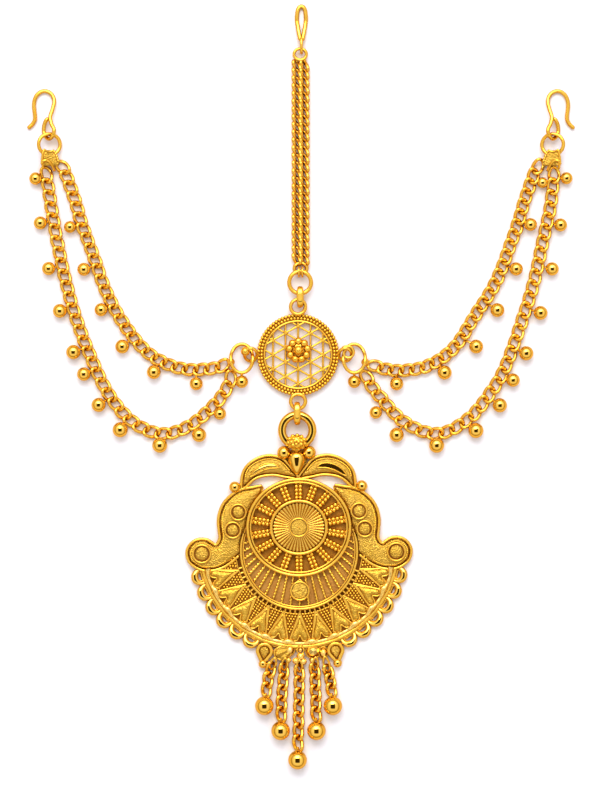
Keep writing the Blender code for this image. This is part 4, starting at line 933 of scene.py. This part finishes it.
def pushed_out(outline):
    """The points that lie inside the wheel or the sunburst, moved out to their rims."""
    moved = []
    for x, y in outline[:, :2]:
        reach = math.hypot(x / (WHEEL[0] - 0.5), (y - WHEEL_Y) / (WHEEL[1] - 0.5))
        if reach < 1:
            x, y = x / reach, WHEEL_Y + (y - WHEEL_Y) / reach
        reach = math.hypot(x, y - SUN_Y) / (SUN - 0.5)
        if reach < 1:
            x, y = x / reach, SUN_Y + (y - SUN_Y) / reach
        moved.append((x, y))
    return np.array(moved)


def oval(z, inset_by, count=120):
    """Points round the wheel's middle, inset from its rim."""
    return circle((0, WHEEL_Y), (WHEEL[0] - inset_by, WHEEL[1] - inset_by), z, count)


def wheel_rim(wires):
    shape = (1, WHEEL[1] / WHEEL[0])
    turned(wires, [(13.0, 0.0), (13.0, 2.0), (12.1, 2.0), (12.1, 0.0), (13.0, 0.0)], (0, WHEEL_Y), shape, 120)
    tube(wires, oval(2.35, 0.4), 0.4, 12, closed=True)
    tube(wires, oval(2.15, 1.12), 0.27, 12, closed=True)
    inner = circle((0, WHEEL_Y), (HUB[0] - 0.4, HUB[1] - 0.4), 2.4, 96)
    tube(wires, inner, 0.42, 12, closed=True)
    turned(wires, [(7.2, 0.0), (7.2, 2.1), (6.75, 2.1), (6.75, 0.0), (7.2, 0.0)], (0, WHEEL_Y),
           (1, HUB[1] / HUB[0]), 96)


def spokes(wires, grains):
    """Pairs of granule rows on narrow bars."""
    for i in range(SPOKES):
        turn = math.radians(90 + 360 * i / SPOKES)
        aim = np.array([math.cos(turn), math.sin(turn)])
        across = np.array([-aim[1], aim[0]])
        inner, outer = 7.1, 12.6
        squash = np.array([1, WHEEL[1] / WHEEL[0]])
        for side in (-1, 1):
            foot = aim * inner * squash + across * side * 0.46 + (0, WHEEL_Y)
            head = aim * outer * squash + across * side * 0.54 + (0, WHEEL_Y)
            tube(wires, [(*foot, 1.15), (*head, 1.15)], 0.5, 8)
            tube(grains, [(*(foot - across * side * 0.3), 1.4), (*(head - across * side * 0.3), 1.4)], 0.3, 8)
            for k in range(5):
                place = foot + (head - foot) * (k + 0.75) / 5.4
                beads(grains, [(*place, 1.6)], 0.55, sphere(14, 9))


def hub(flutes, satin, wires):
    """The fluted rosette, deeper towards its scalloped edge, and the button on it."""
    total = 44
    count = total * 8
    turns = 2 * np.pi * np.arange(count) / count
    wave = np.abs(np.sin(turns * total / 2))
    points, rows = [], [2.0, 2.7, 3.4, 4.1, 4.8, 5.5, 6.25, 6.35]
    for row, reach in enumerate(rows):
        depth = (reach - 2.0) / 4.35
        z = 2.15 - 0.1 * depth + 0.27 * (wave - 0.5) * (0.35 + depth)
        edge = reach + (0.26 * (wave - 0.6) if row >= 6 else 0)
        if row == len(rows) - 1:
            z = np.full(count, 0.5)
        points.append(np.column_stack([edge * np.cos(turns), WHEEL_Y + edge * np.sin(turns) * 0.955, z]))
    faces = []
    for row in range(len(rows) - 1):
        a, b = row * count, (row + 1) * count
        faces += [(a + k, b + k, b + (k + 1) % count, a + (k + 1) % count) for k in range(count)]
    flutes.add(np.concatenate(points), faces)
    turned(wires, [(6.9, 0.4), (6.9, 0.1), (6.0, 0.1), (6.0, 0.4), (6.9, 0.4)], (0, WHEEL_Y), (1, 0.955), 96)
    button(satin, wires, (0, WHEEL_Y), BUTTON, 1.6, 2.6)
    beads(wires, [(0.02, WHEEL_Y, 2.65)], 0.16)


def button(satin, wires, centre, radius, low, high):
    """A satin disc in a wire edge, with a groove between them."""
    turned(satin, [(radius - 0.1, low), (radius - 0.1, high - 0.36), (radius - 0.48, high - 0.36),
                   (radius - 0.56, high - 0.08), (radius * 0.5, high), (0.3, high + 0.02), (0.02, high - 0.1)],
           centre, count=48)
    tube(wires, circle(centre, radius - 0.2, high - 0.02, 64), 0.25, 12, closed=True)


def sunburst(satin, wires, ropes):
    centre = (0, SUN_Y)
    for inset_by, level, thick in ((0.32, 1.6, 0.34), (0.34, 0.9, 0.34), (0.34, 0.35, 0.34), (0.86, 1.45, 0.24)):
        ring = circle(centre, SUN - inset_by, level, 120, 162, 216)
        tube(wires, ring, thick, 10)
    hub_centre = np.array([0, WHEEL_Y])
    total = int(88 / RAY_PITCH)
    for i in range(-total, total + 1):
        aim = np.array(around(1, i * RAY_PITCH))
        offset = WHEEL_Y - SUN_Y
        along = offset * aim[1]
        reach = -along + math.sqrt(along ** 2 - offset ** 2 + (SUN - 0.8) ** 2)
        start = hub_centre + aim * (WHEEL[0] - 0.9, WHEEL[1] - 0.9)
        end = hub_centre + aim * reach
        if np.linalg.norm(end - hub_centre) < np.linalg.norm(start - hub_centre) + 1.2:
            continue
        rope(ropes, [(*start, 0.95), (*end, 0.95)], 0.29, 0.85, 10)
    low_button(satin, wires)


def low_button(satin, wires):
    """The button that stands on the rays, with a small peak at its top."""
    middle = (0.1, -10.6)
    button(satin, wires, middle, BUTTON, 0.5, 1.95)
    peak = [(-0.9, -8.62), (0.1, -7.7), (1.1, -8.62)]
    tube(wires, [(x, y, 1.75) for x, y in peak], 0.22, 8)
    relief(satin, [(-0.9, -8.9), (0.9, -8.9), (0.1, -7.9)], 0.6, 1.6, 0.1, 0.2, 0.3)


def hollow(deep):
    """The sheet deep under the row of holes, dark brown as painted shade in the holes."""
    band = [(SUN - 0.7, 0.1), (SUN - 0.7, 0.3), (SUN + 1.2, 0.3), (SUN + 1.2, 0.1), (SUN - 0.7, 0.1)]
    turned(deep, band, (0, SUN_Y), count=96)


def back_sheets(wheel_sheet, sun_sheet):
    """The thin sheets seen deep in the windows of the wheel and of the sunburst, dark brown as painted shade in the
    windows.
    """
    reach = WHEEL[0] - 0.5
    turned(wheel_sheet, [(reach, 0.0), (reach, 0.5), (0.02, 0.52)], (0, WHEEL_Y), (1, WHEEL[1] / WHEEL[0]), 96)
    turned(sun_sheet, [(SUN - 0.5, 0.0), (SUN - 0.5, 0.36), (0.02, 0.38)], (0, SUN_Y), count=96)


def fan(sheet, wires):
    """The sheet under the hearts, dark brown as painted shade between the granules, and the little bars that leave a
    row of holes inside it.
    """
    outer = circle((0, 0), 24.4, 0, 120, 270 - RIM_HALF_ANGLE, 2 * RIM_HALF_ANGLE)[:, :2]
    inner = circle((0, SUN_Y), 15.85, 0, 110, 270 - 84, 168)[::-1, :2]
    relief(sheet, np.concatenate([outer, inner]), 0.0, 0.95, 0.05, 0.3, 0.9)
    tube(wires, at_height(inner, 1.0), 0.22, 8)
    for degrees in np.arange(-74, 74.1, 4.65):
        bar = [(*around(radius, degrees, (0, SUN_Y)), 0.85) for radius in (14.6, 16.0)]
        tube(wires, bar, 0.3, 8)


def fan_point(degrees, across, radius):
    """A point of the fan, given across and along the middle line of one of its cells."""
    aim = np.array(around(1, degrees))
    return aim * radius + np.array([-aim[1], aim[0]]) * across


def hearts(stippled, wires, grains, deep):
    """Each cell of the fan: two straight wires in a V, and a stippled heart between them over a dark ground, whose dark
    brown is painted shade.
    """
    half = [
        (0.0, 17.1), (0.55, 18.4), (1.1, 19.6), (1.75, 20.8), (2.2, 21.8), (2.15, 22.6), (1.5, 23.2), (0.7, 22.9),
    ]
    loop = half + [(0.0, 21.8)] + [(-x, r) for x, r in half[:0:-1]]
    cells = []
    for i in range(HEARTS):
        degrees = HEART_PITCH * (i - (HEARTS - 1) / 2)
        outline = smooth([fan_point(degrees, x, r) for x, r in loop], 0.24, closed=True)
        relief(stippled, outline, 0.6, 1.15, 0.85, 1.3, 0.3)
        tube(wires, at_height(outline, 1.4), 0.23, 8, closed=True)
        tip = fan_point(degrees, 0, 16.1)
        ends = [fan_point(degrees, side * 2.92, 23.9) for side in (-1, 1)]
        relief(deep, [tip, *ends], 0.5, 1.02, 0.0, 1.0, 2.0)
        for end in ends:
            tube(wires, [(*tip, 1.35), (*end, 1.45)], 0.28, 10)
        cells.append(np.array([tip, ends[0], fan_point(degrees, 0, 25.0), ends[1]]))
    granulation(grains, cells)


def granulation(grains, cells):
    """Granules in rows, wherever the cells leave the sheet bare."""
    spots = []
    for row, radius in enumerate(np.arange(16.45, 23.6, 0.66)):
        pitch = math.degrees(0.74 / radius)
        total = int((84 if radius < 18.3 else 76) / pitch)
        for k in range(-total, total + 1):
            spots.append(around(radius, (k + 0.5 * (row % 2)) * pitch))
    spots = np.array(spots)
    clear = np.ones(len(spots), bool)
    for outline in cells:
        near = np.hypot(*(spots - outline.mean(0)).T) < 6
        clear[near] &= (edge_distance(spots[near], outline) > 0.38) & ~inside(spots[near], outline)
    for x, y in spots[clear]:
        beads(grains, [(x, y, 1.15)], 0.34, sphere(12, 8))


def rim(wires, bright, mirrors):
    """The round rim, a bright band inside it that swells where the cells meet, its paler gold a painted highlight, and
    the scallops outside.
    """
    degrees = np.linspace(-RIM_HALF_ANGLE, RIM_HALF_ANGLE, 300)
    tube(wires, [(*around(24.6, d), 1.05) for d in degrees], 0.58, 14)
    phase = np.radians((degrees / HEART_PITCH + 0.5) * 360)
    cusp = np.cos(phase / 2) ** 6
    ripple = np.cos(np.radians(degrees * 720 / SCALLOP_PITCH))
    route = [(*around(23.8 - 0.35 * c, d), 1.3 + 0.15 * c) for d, c in zip(degrees, cusp)]
    tube(bright, route, 0.5 + 0.36 * cusp + 0.05 * ripple, 16)
    tube(wires, [(*around(25.2, d), 0.6) for d in degrees], 0.5, 12)
    for side in (-1, 1):
        for i in range(SCALLOPS):
            scallop(mirrors, side * (SCALLOP_START + i * SCALLOP_PITCH))


def scallop(work, degrees):
    """A fat crescent, thick in its middle, round a thin inner one that bounds its small hole."""
    middle = around(RIM + 0.35, degrees)
    sweep = np.linspace(-108, 108, 32)
    full = np.cos(np.radians(sweep * 0.83)) ** 1.5
    route = [(*around(1.7 + 0.05 * f, degrees + turn, middle), 0.85 + 0.25 * f) for turn, f in zip(sweep, full)]
    tube(work, route, 0.34 + 0.58 * full, 18, tip=True)
    inner = [(*around(1.1, degrees + turn, middle), 1.0) for turn in np.linspace(-100, 100, 24)]
    tube(work, inner, 0.16, 10, tip=True)


def raised_plate(satin, outline, crown):
    """A thin sheet with a domed one on it, and a groove inside the border that goes round them."""
    relief(satin, outline, 0.0, 0.8, 0.0, 1.0, 1.2)
    relief(satin, inset(outline, 0.4), 0.6, 1.15, crown, 2.1, 0.36)


def wing(satin, wires, side):
    outline = smooth([(side * x * REACH, y * REACH) for x, y in WING_OUTLINE], 0.4, closed=True)
    outline = pushed_out(outline)
    raised_plate(satin, outline, 0.65)
    reach = np.hypot(outline[:, 0] / WHEEL[0], (outline[:, 1] - WHEEL_Y) / WHEEL[1])
    free = outline[(reach > np.where(outline[:, 1] > 14.6, 1.08, 1.1))
                   & (np.hypot(outline[:, 0], outline[:, 1] - SUN_Y) > SUN + 0.2)]
    gap = np.argmax(np.hypot(*np.diff(np.concatenate([free, free[:1]]), axis=0).T)) + 1
    free = np.roll(free, -gap, 0)
    tube(wires, at_height(free, 1.35), 0.38, 12, tip=True)
    return free


def wing_trim(satin, wires, balls, grains, deep, free, side):
    row = inset(free, 1.0)[8:-8]
    beaded(grains, at_height(row, 1.5), 0.24, 0.46, 8)
    for x, y, radius in ((15.1, 9.26, 2.0), (16.5, 4.8, 2.0), (24.3, -1.05, 2.25)):
        bezel(satin, wires, deep, (side * x, y), radius)
    beads(balls, [(side * 15.9, 15.5, 1.4)], 1.4, BALL)
    tube(wires, [(side * 15.5, 15.0, 1.2), (side * 14.4, 14.6, 1.2)], 0.4, 10)


def bezel(satin, wires, deep, centre, radius):
    """A satin stone of gold in a thin polished collar, with a deep gap between them lined in dark brown as painted
    shade.
    """
    turned(satin, [(radius - 0.56, 1.2), (radius - 0.56, 2.25), (radius - 0.75, 2.45), (radius * 0.3, 2.55),
                   (0.02, 2.55)], centre, count=40)
    tube(wires, circle(centre, radius - 0.05, 2.35, 48), 0.24, 12, closed=True)
    turned(deep, [(radius, 1.2), (radius, 2.28), (radius - 0.6, 2.28), (radius - 0.6, 1.0)], centre, count=48)


def leaf(satin, wires, grains, side):
    outline = smooth([(side * x * REACH, y * REACH) for x, y in LEAF_OUTLINE], 0.35, closed=True)
    raised_plate(satin, outline, 0.6)
    tube(wires, at_height(outline, 1.45), 0.37, 12, closed=True)
    upper = smooth([(side * x * REACH, y * REACH) for x, y in LEAF_OUTLINE[:7]], 0.35)
    middle = outline[:, :2].mean(0)
    row = [(x + (middle[0] - x) * 0.14, y + (middle[1] - y) * 0.22, 1.62) for x, y, z in upper[6:-6]]
    beaded(grains, row, 0.24, 0.46, 8)
    return crescent(side)


def crescent(side):
    """The long polished cell in the leaf."""
    top = [(4.7, 20.3), (6.2, 21.3), (8.6, 21.1), (10.8, 19.9), (12.1, 18.2)]
    low = [(11.4, 18.3), (9.4, 19.4), (7.2, 20.1)]
    return smooth([(side * x, y) for x, y in top + low], 0.3, closed=True)


def teardrop(work, centre, radius, length, height, shape=BALL):
    """A polished drop with its head up and its tip towards the viewer's foot."""
    points = shape[0].copy()
    below = points[:, 1] < 0
    points[:, 0] *= radius
    points[:, 2] *= height
    points[below, 0] *= (1 + points[below, 1]) ** 0.35 / (1 - points[below, 1] ** 2 + 1e-6) ** 0.1
    points[below, 1] *= length - radius
    points[~below, 1] *= radius
    work.add(points + centre, shape[1])


def crest(satin, wires, balls, grains):
    """Boss, two balls, and the granulated ball on the bail."""
    teardrop(balls, (-0.35, 22.4, 2.0), 2.15, 6.2, 1.95)
    for x in (-3.5, 2.75):
        beads(balls, [(x, 24.0, 1.7)], 1.7, BALL)
    relief(satin, [(-3.6, 24.2), (-2.2, 20.4), (-0.9, 17.2), (0.9, 17.2), (1.8, 20.4), (2.9, 24.2), (1.0, 24.6),
                   (-1.6, 24.6)][::-1], 0.0, 0.8, 0.1, 0.3, 0.5)
    seat = (-0.3, 26.6)
    tube(wires, [(-0.4, 27.9, 2.3), (-0.4, 27.6, 3.6), (-0.4, 26.6, 4.15), (-0.4, 24.6, 3.6), (-0.4, 23.9, 2.3),
                 (-0.4, 24.4, 0.9), (-0.4, 26.6, 0.45), (-0.4, 27.6, 1.1)], 0.4, 12, closed=True, up=RIGHT)
    beads(grains, [(*seat, 3.4)], 1.9, BALL, (1.15, 1, 0.85))
    for reach, z, total, size in (((2.0, 1.65), 3.5, 11, 0.58), ((1.3, 1.0), 4.4, 7, 0.55), ((0.5, 0.45), 4.85, 3, 0.5)):
        beads(grains, circle(seat, reach, z, total, 20), size, sphere(14, 9))


def drop_setting(satin, wires, balls, side):
    """A satin drop in a border of wire, whose ends run down to a ball."""
    middle = (side * 8.9, -25.6)
    turns = np.radians(np.arange(-35, 216, 25))
    head = [(middle[0] + 1.75 * math.cos(t), middle[1] + 1.75 * math.sin(t)) for t in turns]
    outline = smooth(head + [(side * 9.2, -28.2)], 0.25, closed=True)
    relief(satin, inset(outline, 0.42), 0.0, 1.0, 0.45, 0.9, 0.3)
    border = smooth([(side * 9.3 + 0.25, -28.4)] + head + [(side * 9.3 - 0.25, -28.4)], 0.25)
    tube(wires, at_height(border, 1.3), 0.46, 14, tip=True)
    beads(balls, [(side * 9.35, -28.8, 1.15)], 1.1, BALL)


def facetted(work, centre, size, stretch=(1, 1, 0.7), turn=0.0):
    """A small cut lump, with flat facets of its own."""
    points, faces = sphere(7, 5)
    c, s = math.cos(turn), math.sin(turn)
    points = points @ np.array([[c, s, 0], [-s, c, 0], [0, 0, 1]])
    for face in faces:
        corners = points[list(face)] * size * np.array(stretch) + centre
        work.add(corners, [tuple(range(len(face)))])


def cluster(satin, wires, bright, grains):
    """Leaves, petals and beads where the drops hang."""
    left = smooth([(-2.4, -24.6), (-4.4, -24.4), (-6.3, -25.4), (-6.2, -27.0), (-4.9, -27.8), (-3.4, -27.5),
                   (-2.3, -26.4)], 0.3, closed=True)

    def veined(points, z):
        fan_angle = np.arctan2(points[:, 1] + 24.6, points[:, 0] + 1.2)
        return z + 0.16 * np.cos(fan_angle * 16)

    relief(satin, left, 0.2, 1.2, 0.8, 1.3, 0.2, veined)
    tube(wires, at_height(left, 1.3), 0.28, 10, closed=True)
    for number, (x, y, wide, tall) in enumerate(((-2.6, -25.4, 1.2, 1.3), (3.3, -25.8, 1.9, 1.7), (5.8, -26.2, 1.05, 1.5))):
        beads(wires, [(x, y, 0.7)], 1.0, sphere(24, 16), (wide, tall, 0.7))
        # The facets and the small bead take the paler gold, a painted highlight.
        facetted(bright, (x, y, 1.1), 1.0, (wide * 0.92, tall * 0.92, 1.1), number * 0.5)
        tube(wires, circle((x, y), (wide, tall), 1.0, 40), 0.22, 10, closed=True)
    for x, y, size in ((0.1, -27.0, 1.15), (-1.1, -28.1, 0.95), (0.8, -28.3, 0.95), (-2.9, -27.9, 0.8), (3.0, -28.0, 0.8)):
        facetted(bright, (x, y, 1.4), size, (1, 1, 0.85), x)
        beads(wires, [(x, y, 0.8)], size * 0.8, sphere(18, 12), (1, 1, 0.7))
    drop = smooth([(0.1, -23.9), (0.9, -25.2), (0.75, -26.0), (0.1, -26.3), (-0.55, -26.0), (-0.7, -25.2)], 0.2, closed=True)
    tube(wires, at_height(drop, 1.6), 0.2, 8, closed=True)
    beads(bright, [(0.1, -25.4, 1.6)], 0.5, sphere(16, 10))


def pendant():
    satin, wires, balls, grains, stippled, ropes, sheet, sun_sheet, deep, bright, flutes = (Work() for _ in range(11))
    wheel_rim(wires)
    spokes(wires, grains)
    hub(flutes, satin, wires)
    sunburst(satin, wires, ropes)
    back_sheets(sheet, sun_sheet)
    hollow(deep)
    fan(sheet, wires)
    hearts(stippled, wires, grains, deep)
    rim(wires, bright, balls)
    for side in (-1, 1):
        free = wing(satin, wires, side)
        wing_trim(satin, wires, balls, grains, deep, free, side)
        outline = leaf(satin, wires, grains, side)
        relief(balls, outline, 1.7, 2.0, 0.02 if side > 0 else 0.5, 0.3 if side > 0 else 1.2, 0.3)
        tube(wires, at_height(outline, 2.02), 0.15, 8, closed=True)
        drop_setting(satin, wires, balls, side)
    crest(satin, wires, balls, grains)
    cluster(satin, wires, bright, grains)
    made = [
        (satin, "pendant_satin_plates", SATIN, "satin_gold"), (wires, "pendant_wires", POLISHED, "polished_gold"),
        (balls, "pendant_balls", BALL_GOLD, "polished_gold"), (grains, "pendant_granules", FILIGREE_GOLD, "filigree_gold"),
        (stippled, "pendant_hearts", STIPPLED, "satin_gold"), (ropes, "pendant_rays", FILIGREE_GOLD, "filigree_gold"),
        # The sheet, sun sheet and hollow pieces are dark brown as painted shade.
        (sheet, "pendant_shade_sheet", SHADE_RECESS, "satin_gold"), (deep, "pendant_shade_hollow", SHADE_HOLLOW, "satin_gold"),
        (sun_sheet, "pendant_sun_shade_sheet", SUN_SHADE_RECESS, "satin_gold"), (bright, "pendant_bright_band", BRIGHT_GOLD, "polished_gold"),
        (flutes, "pendant_rosette", FLUTED, "polished_gold"),
    ]
    for number, (work, name, material, slot) in enumerate(made):
        work.place(*PENDANT, PENDANT_TURN)
        work.made(name, material, slot, *(["pendant"] if number == 0 else []))


def table():
    """White where the camera looks at it, warmer in the shade of the gold, and dimmer as the gold mirrors it."""
    material = bpy.data.materials.new("white_table")
    material.use_nodes = True
    nodes, links = material.node_tree.nodes, material.node_tree.links
    shader = nodes["Principled BSDF"]
    shader.inputs["Roughness"].default_value = 0.9
    shader.inputs["Specular IOR Level"].default_value = 0.1
    near = nodes.new("ShaderNodeAmbientOcclusion")
    near.samples = 8
    near.inputs["Distance"].default_value = 0.0024
    open_share = nodes.new("ShaderNodeMapRange")
    open_share.inputs["From Min"].default_value = 0.1
    open_share.inputs["From Max"].default_value = 0.85
    links.new(near.outputs["AO"], open_share.inputs["Value"])
    shade = nodes.new("ShaderNodeMix")
    shade.data_type = "RGBA"
    shade.inputs["A"].default_value = (0.98, 0.82, 0.62, 1)
    shade.inputs["B"].default_value = (0.84, 0.84, 0.833, 1)
    links.new(open_share.outputs["Result"], shade.inputs["Factor"])
    path = nodes.new("ShaderNodeLightPath")
    seen = nodes.new("ShaderNodeMix")
    seen.data_type = "RGBA"
    seen.inputs["A"].default_value = (0.66, 0.50, 0.28, 1)
    links.new(path.outputs["Is Camera Ray"], seen.inputs["Factor"])
    links.new(shade.outputs["Result"], seen.inputs["B"])
    links.new(seen.outputs["Result"], shader.inputs["Base Color"])
    mesh = bpy.data.meshes.new("table_top")
    half = 1.5
    mesh.from_pydata([(-half, -half, 0), (half, -half, 0), (half, half, 0), (-half, half, 0)], [], [(0, 1, 2, 3)])
    mesh.materials.append(material)
    floor = bpy.data.objects.new("table_top", mesh)
    bpy.context.scene.collection.objects.link(floor)


def studio():
    """A white room: a wide soft panel beyond the far side, and a dark patch straight over the piece."""
    world = bpy.data.worlds.new("studio")
    bpy.context.scene.world = world
    world.use_nodes = True
    nodes, links = world.node_tree.nodes, world.node_tree.links
    back = nodes["Background"]
    place = nodes.new("ShaderNodeTexCoord")
    split = nodes.new("ShaderNodeSeparateXYZ")
    links.new(place.outputs["Generated"], split.inputs["Vector"])

    def math_node(kind, one, two, clamp=False):
        node = nodes.new("ShaderNodeMath")
        node.operation = kind
        node.use_clamp = clamp
        for socket, value in zip(node.inputs, (one, two)):
            if value is None:
                continue
            if isinstance(value, float):
                socket.default_value = value
            else:
                links.new(value, socket)
        return node.outputs["Value"]

    def step_node(value, low, high, from_value=0.0, to_value=1.0):
        node = nodes.new("ShaderNodeMapRange")
        node.interpolation_type = "SMOOTHSTEP"
        links.new(value, node.inputs["Value"])
        for name, amount in (("From Min", low), ("From Max", high), ("To Min", from_value), ("To Max", to_value)):
            node.inputs[name].default_value = amount
        return node.outputs["Result"]

    height = math_node("MAXIMUM", split.outputs["Z"], 0.001)
    run_x = math_node("DIVIDE", split.outputs["X"], height)
    run_y = math_node("DIVIDE", split.outputs["Y"], height)
    wide = math_node("MAXIMUM", math_node("ABSOLUTE", run_x, None), math_node("ABSOLUTE", run_y, None))
    patch = step_node(wide, 0.50, 0.58, 0.04, 1.0)
    towards = step_node(split.outputs["Y"], -0.7, 0.6, 0.46, 0.62)
    panel_near = step_node(run_y, 0.52, 0.68)
    panel_far = step_node(run_y, 1.5, 3.6, 1.0, 0.0)
    panel_side = step_node(math_node("ABSOLUTE", run_x, None), 0.45, 1.3, 1.0, 0.0)
    panel = math_node("MULTIPLY", math_node("MULTIPLY", panel_near, panel_far), panel_side)
    overhead = step_node(wide, 0.6, 4.5, 0.6, 0.0)
    bright = math_node("ADD", towards, math_node("ADD", math_node("MULTIPLY", panel, 1.7), overhead))
    light = math_node("MULTIPLY", bright, patch)
    links.new(light, back.inputs["Strength"])
    warmth = nodes.new("ShaderNodeMix")
    warmth.data_type = "RGBA"
    warmth.inputs["A"].default_value = (1.0, 0.76, 0.38, 1)
    warmth.inputs["B"].default_value = (0.98, 0.99, 1.2, 1)
    links.new(step_node(light, 0.4, 1.3), warmth.inputs["Factor"])
    links.new(warmth.outputs["Result"], back.inputs["Color"])


def lamp(name, place, size, energy, in_reflections=True, for_pieces=None, color=(1.0, 1.0, 1.0)):
    data = bpy.data.lights.new(name, "AREA")
    data.shape = "RECTANGLE"
    data.size, data.size_y = size
    data.energy = energy
    data.color = color
    obj = bpy.data.objects.new(name, data)
    bpy.context.scene.collection.objects.link(obj)
    obj.location = place
    obj.rotation_euler = (-Vector(place)).to_track_quat("-Z", "Y").to_euler()
    obj.visible_glossy = in_reflections
    if for_pieces:
        lit = bpy.data.collections.new(name + "_pieces")
        for piece in for_pieces:
            lit.objects.link(piece)
        obj.light_linking.receiver_collection = lit


def camera():
    data = bpy.data.cameras.new("overhead")
    data.lens = 120
    obj = bpy.data.objects.new("overhead", data)
    bpy.context.scene.collection.objects.link(obj)
    obj.location = (-0.00025, -0.003375, 0.6685)
    bpy.context.scene.camera = obj


hair_loop()
hair_ring()
hair_chain()
middle_rings()
filigree_disc()
for side, word in ((-1, "left"), (1, "right")):
    side_ring(f"side_ring_{word}", side)
    end_pieces(side, word)
    end_plate(side, word)
for name in CHAIN_ROUTES:
    side_chain(name)
pendant()
drops()
table()
studio()
lamp("far_window", (-0.05, 0.42, 0.6), (0.5, 0.35), 2.6)
lamp("soft_overhead", (-0.03, 0.12, 0.9), (0.7, 0.6), 2.3, in_reflections=False)
not_mirrors = [piece for piece in bpy.context.scene.objects
               if piece.type == "MESH" and piece.active_material.name not in ("ball_gold", "ring_gold", "white_table")]
lamp("sky_window", (0, 0, 9), (7, 7), 165, for_pieces=not_mirrors, color=(1.0, 1.0, 1.2))
camera()
bpy.context.scene.view_settings.view_transform = "Standard"
